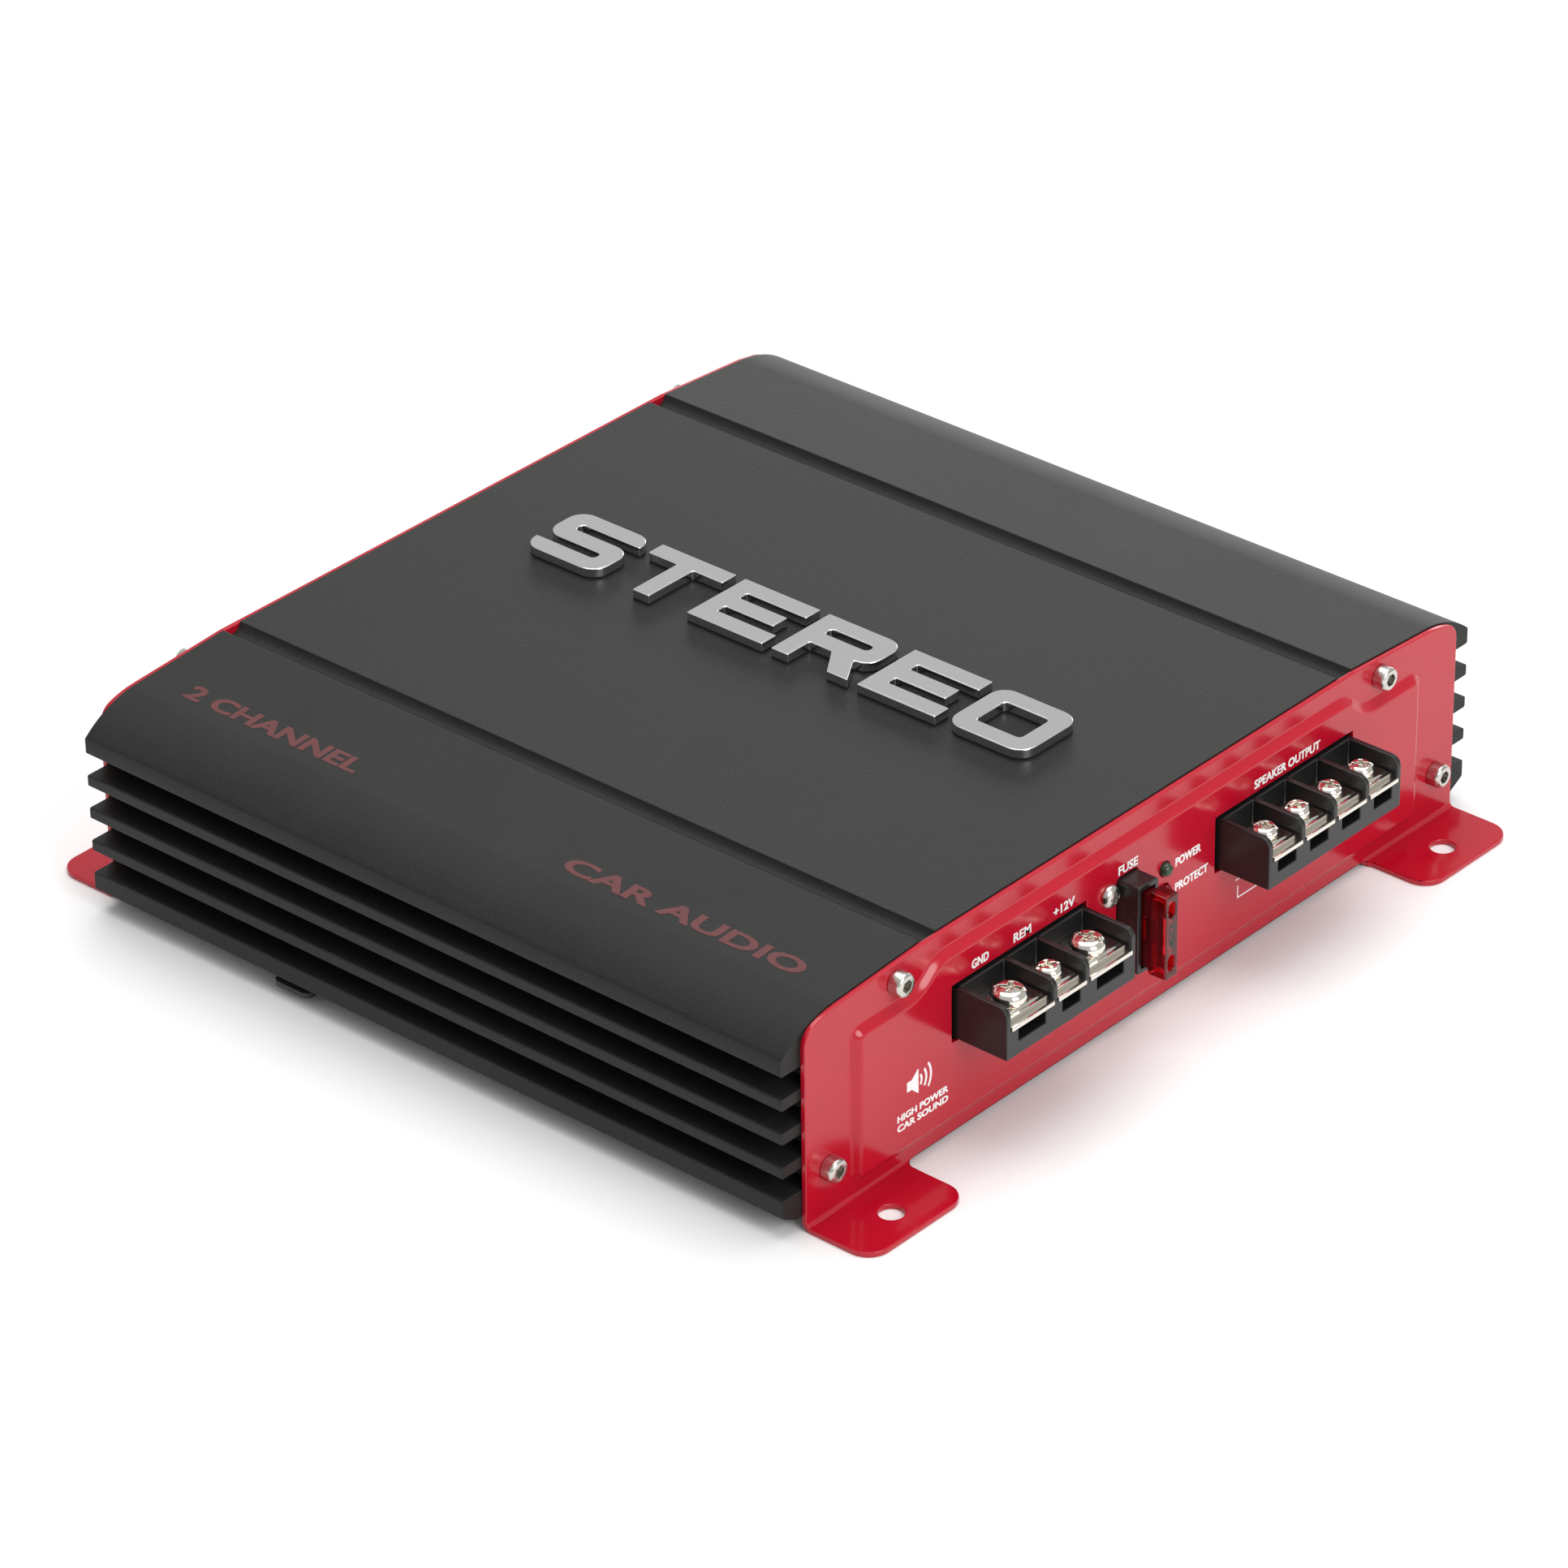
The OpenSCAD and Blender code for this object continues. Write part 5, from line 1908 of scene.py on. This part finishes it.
@dataclass
class Controls:
    """Jacks, knobs and the switch of the input end."""

    jacks: tuple[float, ...] = (-56.0, -42.0)
    knobs: tuple[tuple[str, str, float], ...] = (
        ("gain_knob", "gain_control", -14.0),
        ("bass_knob", "bass_control", 8.0),
        ("crossover_knob", "crossover_control", 30.0),
    )
    z: float = 26.0
    panel: float = -96.2

    def knob(self, node: str, body: str, y: float) -> None:
        """Makes one fluted knob and its painted pointer.

        Args:
            node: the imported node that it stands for.
            body: the body that it rides on.
            y: its place along the panel.
        """
        x = self.panel - 1.0
        work = Workpiece().lathe(
            [(0, 7.6), (3.4, 7.6), (3.7, 8.0), (4.1, 7.95), (4.4, 7.6), (4.5, 7.1),
             (4.5, 0.25), (4.3, 0), (1.5, 0), (1.5, -7), (0, -7)],
            (x, y, self.z), (-1, 0, 0), 60)
        flutes = Workpiece()
        for i in range(12):
            turn = math.tau * i / 12 + 0.26
            fy, fz = y + 5.0 * math.cos(turn), self.z + 5.0 * math.sin(turn)
            flutes.rod((x - 9, fy, fz), (x - 0.6, fy, fz), 0.82, segments=16)
        work.cut(flutes)
        work.cut(Workpiece().block((x - 9, y - 0.45, self.z + 1.0), (x - 7.2, y + 0.45, self.z + 6)))
        work.piece(node + "_moulding", Finishes.KNOB, body, [node], edge=0.12, sharp=40)
        Workpiece().block((x - 7.45, y - 0.4, self.z + 1.05), (x - 7.1, y + 0.4, self.z + 4.2)).piece(
            node + "_pointer", Finishes.INK, body)

    def build(self) -> None:
        """Makes every jack and knob and dresses the switch."""
        shells = Workpiece()
        for y in self.jacks:
            shells.tube([(4.0, 9.5), (4.15, 9.3), (4.15, -1.5), (5.0, -1.5), (5.0, -2.9),
                         (4.15, -2.9), (4.15, -10.7), (3.4, -10.7), (3.4, 9.3), (3.55, 9.5)],
                        (self.panel, y, self.z), (-1, 0, 0), 48)
        shells.piece("jack_shells", Finishes.GOLD, stands_for=["phono_jack_shells"],
                     edge=0.06, sharp=40)
        keep("phono_jack_inserts", Finishes.WHITE)
        keep("phono_jack_block", Finishes.BLOCK)
        for node, body, y in self.knobs:
            self.knob(node, body, y)
        keep("crossover_switch", Finishes.STEEL)
        slider = Workpiece().block((-97.9, 52.6, 24.5), (-92.5, 55.4, 27.5))
        slider.join(Workpiece().block((-92.7, 51.5, 24.4), (-89.6, 56.5, 27.6)))
        slider.cut(Workpiece().block((-99, 53.7, 24), (-97.4, 54.3, 28)))
        slider.piece("switch_slider_cap", Finishes.WHITE, "crossover_selector",
                     ["crossover_slider"], edge=0.2, sharp=40)


# -------------------------------------------------------------------- legends


@dataclass
class Legends:
    """Printed words and lines on the plates and on the near skirt."""

    panel: float = 96.2
    lift: float = 0.005

    def on_terminal_end(self) -> Matrix:
        """Plane of the terminal panel: u along +Y, v up."""
        return Matrix(((0, 0, 1, self.panel + self.lift), (1, 0, 0, 0), (0, 1, 0, 0), (0, 0, 0, 1)))

    def on_input_end(self) -> Matrix:
        """Plane of the input panel: u along -Y, v up."""
        return Matrix(((0, 0, -1, -self.panel - self.lift), (-1, 0, 0, 0), (0, 1, 0, 0), (0, 0, 0, 1)))

    def on_skirt(self) -> Matrix:
        """Plane of the near skirt: u along +X, v up its slope."""
        slope = math.radians(3.6)
        c, s = math.cos(slope), math.sin(slope)
        start = (0.0, -67.8, 48.7 + self.lift)
        return Matrix(((1, 0, 0, start[0]), (0, c, -s, start[1]), (0, s, c, start[2]), (0, 0, 0, 1)))

    def build(self) -> None:
        """Prints everything."""
        terminal, rear, skirt = self.on_terminal_end(), self.on_input_end(), self.on_skirt()
        for name, words, low, high in (
            ("ground", "GND", (-55.2, 37.2), (-50.2, 39.2)),
            ("remote", "REM", (-42.6, 37.2), (-37.4, 39.2)),
            ("positive", "+12V", (-30.4, 37.2), (-24.0, 39.2)),
            ("fuse", "FUSE", (-10.3, 37.2), (-4.3, 39.2)),
            ("power", "POWER", (7.8, 30.9), (15.8, 32.8)),
            ("protect", "PROTECT", (7.8, 25.1), (18.2, 27.0)),
            ("speakers", "SPEAKER OUTPUT", (33.0, 37.2), (54.4, 39.2)),
            ("maker_top", "HIGH POWER", (-77.4, 12.9), (-62.4, 14.4)),
            ("maker_low", "CAR SOUND", (-77.4, 10.7), (-62.4, 12.2)),
        ):
            lettering("legend_" + name, words, low, high, terminal, Finishes.INK,
                      0.012, bold=0.075)
        for name, words, low, high in (
            ("input", "LINE INPUT", (42.0, 33.4), (56.0, 35.4)),
            ("left", "L", (55.4, 18.0), (56.6, 19.8)),
            ("right", "R", (41.4, 18.0), (42.8, 19.8)),
            ("gain", "GAIN", (10.8, 33.4), (17.2, 35.2)),
            ("bass", "BASS", (-11.2, 33.4), (-4.8, 35.2)),
            ("frequency", "FREQ", (-33.2, 33.4), (-26.8, 35.2)),
            ("crossover", "LPF  FULL  HPF", (-62.0, 30.2), (-46.0, 31.8)),
            ("gain_low", "MIN", (18.2, 20.6), (21.2, 21.8)),
            ("gain_high", "MAX", (6.8, 20.6), (9.8, 21.8)),
            ("bass_low", "0", (-3.2, 20.6), (-2.2, 21.8)),
            ("bass_high", "12", (-14.6, 20.6), (-13.0, 21.8)),
            ("frequency_low", "50", (-25.6, 20.6), (-23.6, 21.8)),
            ("frequency_high", "250", (-37.6, 20.6), (-34.8, 21.8)),
        ):
            lettering("legend_" + name, words, low, high, rear, Finishes.INK, 0.012,
                      bold=0.07)
        lettering("skirt_left", "2 CHANNEL", (-82.6, -22.9), (-34.8, -18.2), skirt,
                  Finishes.DULL_RED_INK, 0.012, bold=0.22)
        lettering("skirt_right", "CAR AUDIO", (21.4, -22.9), (82.3, -18.2), skirt,
                  Finishes.DULL_RED_INK, 0.012, bold=0.22)
        lines = Workpiece()
        high = self.panel + 0.03
        for low_y, low_z, end_y, end_z in (
            (27.4, 18.35, 29.2, 18.65), (28.05, 13.95, 28.35, 16.9),
            (28.35, 13.95, 46.6, 14.25), (46.3, 14.25, 46.6, 16.9),
            (37.0, 18.35, 38.6, 18.65), (47.3, 18.35, 48.9, 18.65),
            (58.0, 18.35, 59.6, 18.65),
        ):
            lines.block((self.panel - 0.3, low_y, low_z), (high, end_y, end_z))
        lines.piece("bridged_lines", Finishes.INK, sharp=30)
        self.pictogram()

    def pictogram(self) -> None:
        """Prints a plain loudspeaker with its sound waves."""
        work = Workpiece()
        horn = Outline(((-74.6, 18.6), (-73.2, 18.6), (-71.2, 16.8), (-71.2, 22.6),
                        (-73.2, 20.8), (-74.6, 20.8)), 0.15, 3)
        work.prism(horn, Plane.FRONT, self.panel - 0.2, self.panel + 0.03)
        for radius in (2.3, 3.7, 5.1):
            outer = [(radius * math.cos(math.radians(a)), radius * math.sin(math.radians(a)))
                     for a in range(-34, 35, 4)]
            inner = [(u * (1 - 0.55 / radius), v * (1 - 0.55 / radius))
                     for u, v in reversed(outer)]
            wave = Outline(tuple((u - 72.3, v + 19.7) for u, v in (*outer, *inner)))
            work.prism(wave, Plane.FRONT, self.panel - 0.2, self.panel + 0.03)
        work.piece("sound_pictogram", Finishes.INK, sharp=30)


# ---------------------------------------------------------------- inner parts

INNER = {
    "circuit_board": Finishes.BOARD,
    "board_standoffs": Finishes.BRASS,
    "board_screws": Finishes.NICKEL,
    "transformer_core": Finishes.FERRITE,
    "transformer_winding": Finishes.COPPER,
    "choke_core": Finishes.IRON,
    "choke_winding": Finishes.CHOKE_COPPER,
    "supply_capacitors": Finishes.SLEEVE,
    "rail_capacitors": Finishes.SLEEVE,
    "power_transistors": Finishes.CASE,
    "insulator_pads": Finishes.PAD,
    "clamp_bars": Finishes.STEEL,
    "clamp_bar_screws": Finishes.NICKEL,
    "signal_chips": Finishes.CASE,
    "control_potentiometers": Finishes.CASE,
}


# ---------------------------------------------------------------------- stage


@dataclass
class Studio:
    """Pale floor, soft lights and the camera."""

    place: Point3 = (0.850935, -0.960375, 0.780489)
    aim: Point3 = (0.003418, -0.004268, 0.020)
    roll: float = -0.7944
    lens: float = 166.21

    def camera(self) -> None:
        """Sets the camera up."""
        data = bpy.data.cameras.new("camera")
        data.lens = self.lens
        data.sensor_width = 36.0
        data.sensor_fit = "HORIZONTAL"
        data.clip_end = 20.0
        eye = bpy.data.objects.new("camera", data)
        bpy.context.scene.collection.objects.link(eye)
        back = (Vector(self.place) - Vector(self.aim)).normalized()
        right = Vector((0, 0, 1)).cross(back).normalized()
        up = back.cross(right)
        turn = Matrix((right, up, back)).transposed().to_4x4()
        eye.matrix_world = (
            Matrix.Translation(self.place) @ turn
            @ Matrix.Rotation(math.radians(self.roll), 4, "Z")
        )
        bpy.context.scene.camera = eye

    def light(self, name: str, place: Point3, aim: Point3, size: Point2, power: float,
              tint: Colour = (1.0, 1.0, 1.0)) -> None:
        """Hangs one soft light.

        Args:
            name: its name.
            place: where it hangs.
            aim: what it points at.
            size: its width and height in metres.
            power: watts.
            tint: its colour.
        """
        data = bpy.data.lights.new(name, "AREA")
        data.shape = "RECTANGLE"
        data.size, data.size_y = size
        data.energy = power
        data.color = tint
        lamp = bpy.data.objects.new(name, data)
        bpy.context.scene.collection.objects.link(lamp)
        away = Vector(aim) - Vector(place)
        lamp.matrix_world = (
            Matrix.Translation(place) @ away.to_track_quat("-Z", "Y").to_matrix().to_4x4()
        )

    def build(self) -> None:
        """Lays the floor, hangs the lights and sets the surroundings."""
        self.camera()
        floor = Workpiece()
        bmesh.ops.create_grid(floor.bm, x_segments=1, y_segments=1, size=6.0)
        mesh = bpy.data.meshes.new("floor")
        floor.bm.to_mesh(mesh)
        ground = bpy.data.objects.new("floor", mesh)
        bpy.context.scene.collection.objects.link(ground)
        graph = Graph("floor_paper")
        cloud = graph.noise(400.0, 2.0)
        mesh.materials.append(graph.shade({
            "Base Color": graph.mix(graph.limited(cloud, 0.0, 1.0), (0.87, 0.87, 0.87),
                                    (0.89, 0.89, 0.89)),
            "Roughness": 0.85, "Specular IOR Level": 0.1,
        }))
        world = bpy.data.worlds.new("room")
        bpy.context.scene.world = world
        world.use_nodes = True
        world.node_tree.nodes["Background"].inputs["Color"].default_value = (1, 1, 1, 1)
        world.node_tree.nodes["Background"].inputs["Strength"].default_value = 0.56
        self.light("overhead", (-0.15, 0.25, 2.1), (0, 0, 0), (2.2, 2.0), 36.0)
        self.light("far_strip", (-0.9, 1.9, 0.5), (0, 0.08, 0.04), (1.8, 0.5), 10.0)
        self.light("right_front", (1.5, -0.3, 0.9), (0.1, 0, 0.02), (0.9, 0.9), 14.0)
        bpy.context.scene.view_settings.view_transform = "Standard"
        LOG.info("studio ready")


def terminal_blocks() -> list[TerminalBlock]:
    """The power block and the speaker block with their terminals.

    Returns:
        Both blocks.
    """
    power = TerminalBlock(
        "power_block", "power_terminal_block", "power_contact_plates", -60.3, (
            Terminal("ground", "ground_screw", "ground_clamp", -52.6, 12.8, BIG, turn=0.5),
            Terminal("remote", "remote_screw", "remote_clamp", -40.65, 8.5, SMALL, turn=1.1),
            Terminal("positive", "positive_screw", "positive_clamp", -28.7, 12.8, BIG, turn=0.15),
        ))
    speaker = TerminalBlock(
        "speaker_block", "speaker_terminal_block", "speaker_contact_plates", 21.4, tuple(
            Terminal(f"speaker_{i + 1}", f"speaker_screw_{i + 1}", f"speaker_clamp_{i + 1}",
                     27.3 + 10.5 * i, 9.2, SMALL, turn=(0.4, 1.0, 0.2, 0.7)[i])
            for i in range(4)
        ))
    return [power, speaker]


def end_plates() -> list[EndPlate]:
    """The plates of the terminal end and of the input end.

    Returns:
        Both plates.
    """
    terminal = EndPlate(
        "terminal_plate", "terminal_end_plate",
        (rectangle((-61.1, 23.3), (-20.2, 36.2), 0.3),
         rectangle((20.6, 23.3), (65.5, 36.2), 0.3),
         rectangle((-10.75, 16.0), (-4.05, 36.6), 0.9)),
        (((4.4, 32.0), 1.65), ((4.4, 26.9), 1.65), ((-13.2, 34.0), 1.6)))
    rear = EndPlate(
        "input_plate", "input_end_plate", (rectangle((49.0, 24.0), (59.0, 28.0), 0.3),),
        (((-56.0, 26.0), 5.2), ((-42.0, 26.0), 5.2), ((-49.0, 26.0), 1.6),
         ((-14.0, 26.0), 3.2), ((8.0, 26.0), 3.2), ((30.0, 26.0), 3.2)),
        at_input_end=True)
    return [terminal, rear]


def main() -> None:
    """Builds the amplifier piece by piece round its frame."""
    logging.basicConfig(level=logging.INFO, format="%(name)s: %(message)s")
    parts: list[Any] = [
        Studio(),
        Housing(),
        *end_plates(),
        PlateScrews("terminal_plate_cap_screws", "terminal_plate_screws"),
        PlateScrews("input_plate_cap_screws", "input_plate_screws", at_input_end=True),
        PanelScrew("fuse_panel_screw", "fuse_holder_screw", (-13.2, 34.0)),
        PanelScrew("jack_panel_screw", "phono_jack_screw", (-49.0, 26.0), at_input_end=True),
        *terminal_blocks(),
        FuseAndHolder(),
        Lamp("power_lamp", "power_led", Finishes.GREEN_LAMP, 32.0),
        Lamp("protect_lamp", "protect_led", Finishes.RED_LAMP, 26.9),
        Controls(),
        Badge(),
        Legends(),
    ]
    for part in parts:
        part.build()
    for node, finish in INNER.items():
        keep(node, finish)


if __name__ == "__main__":
    main()
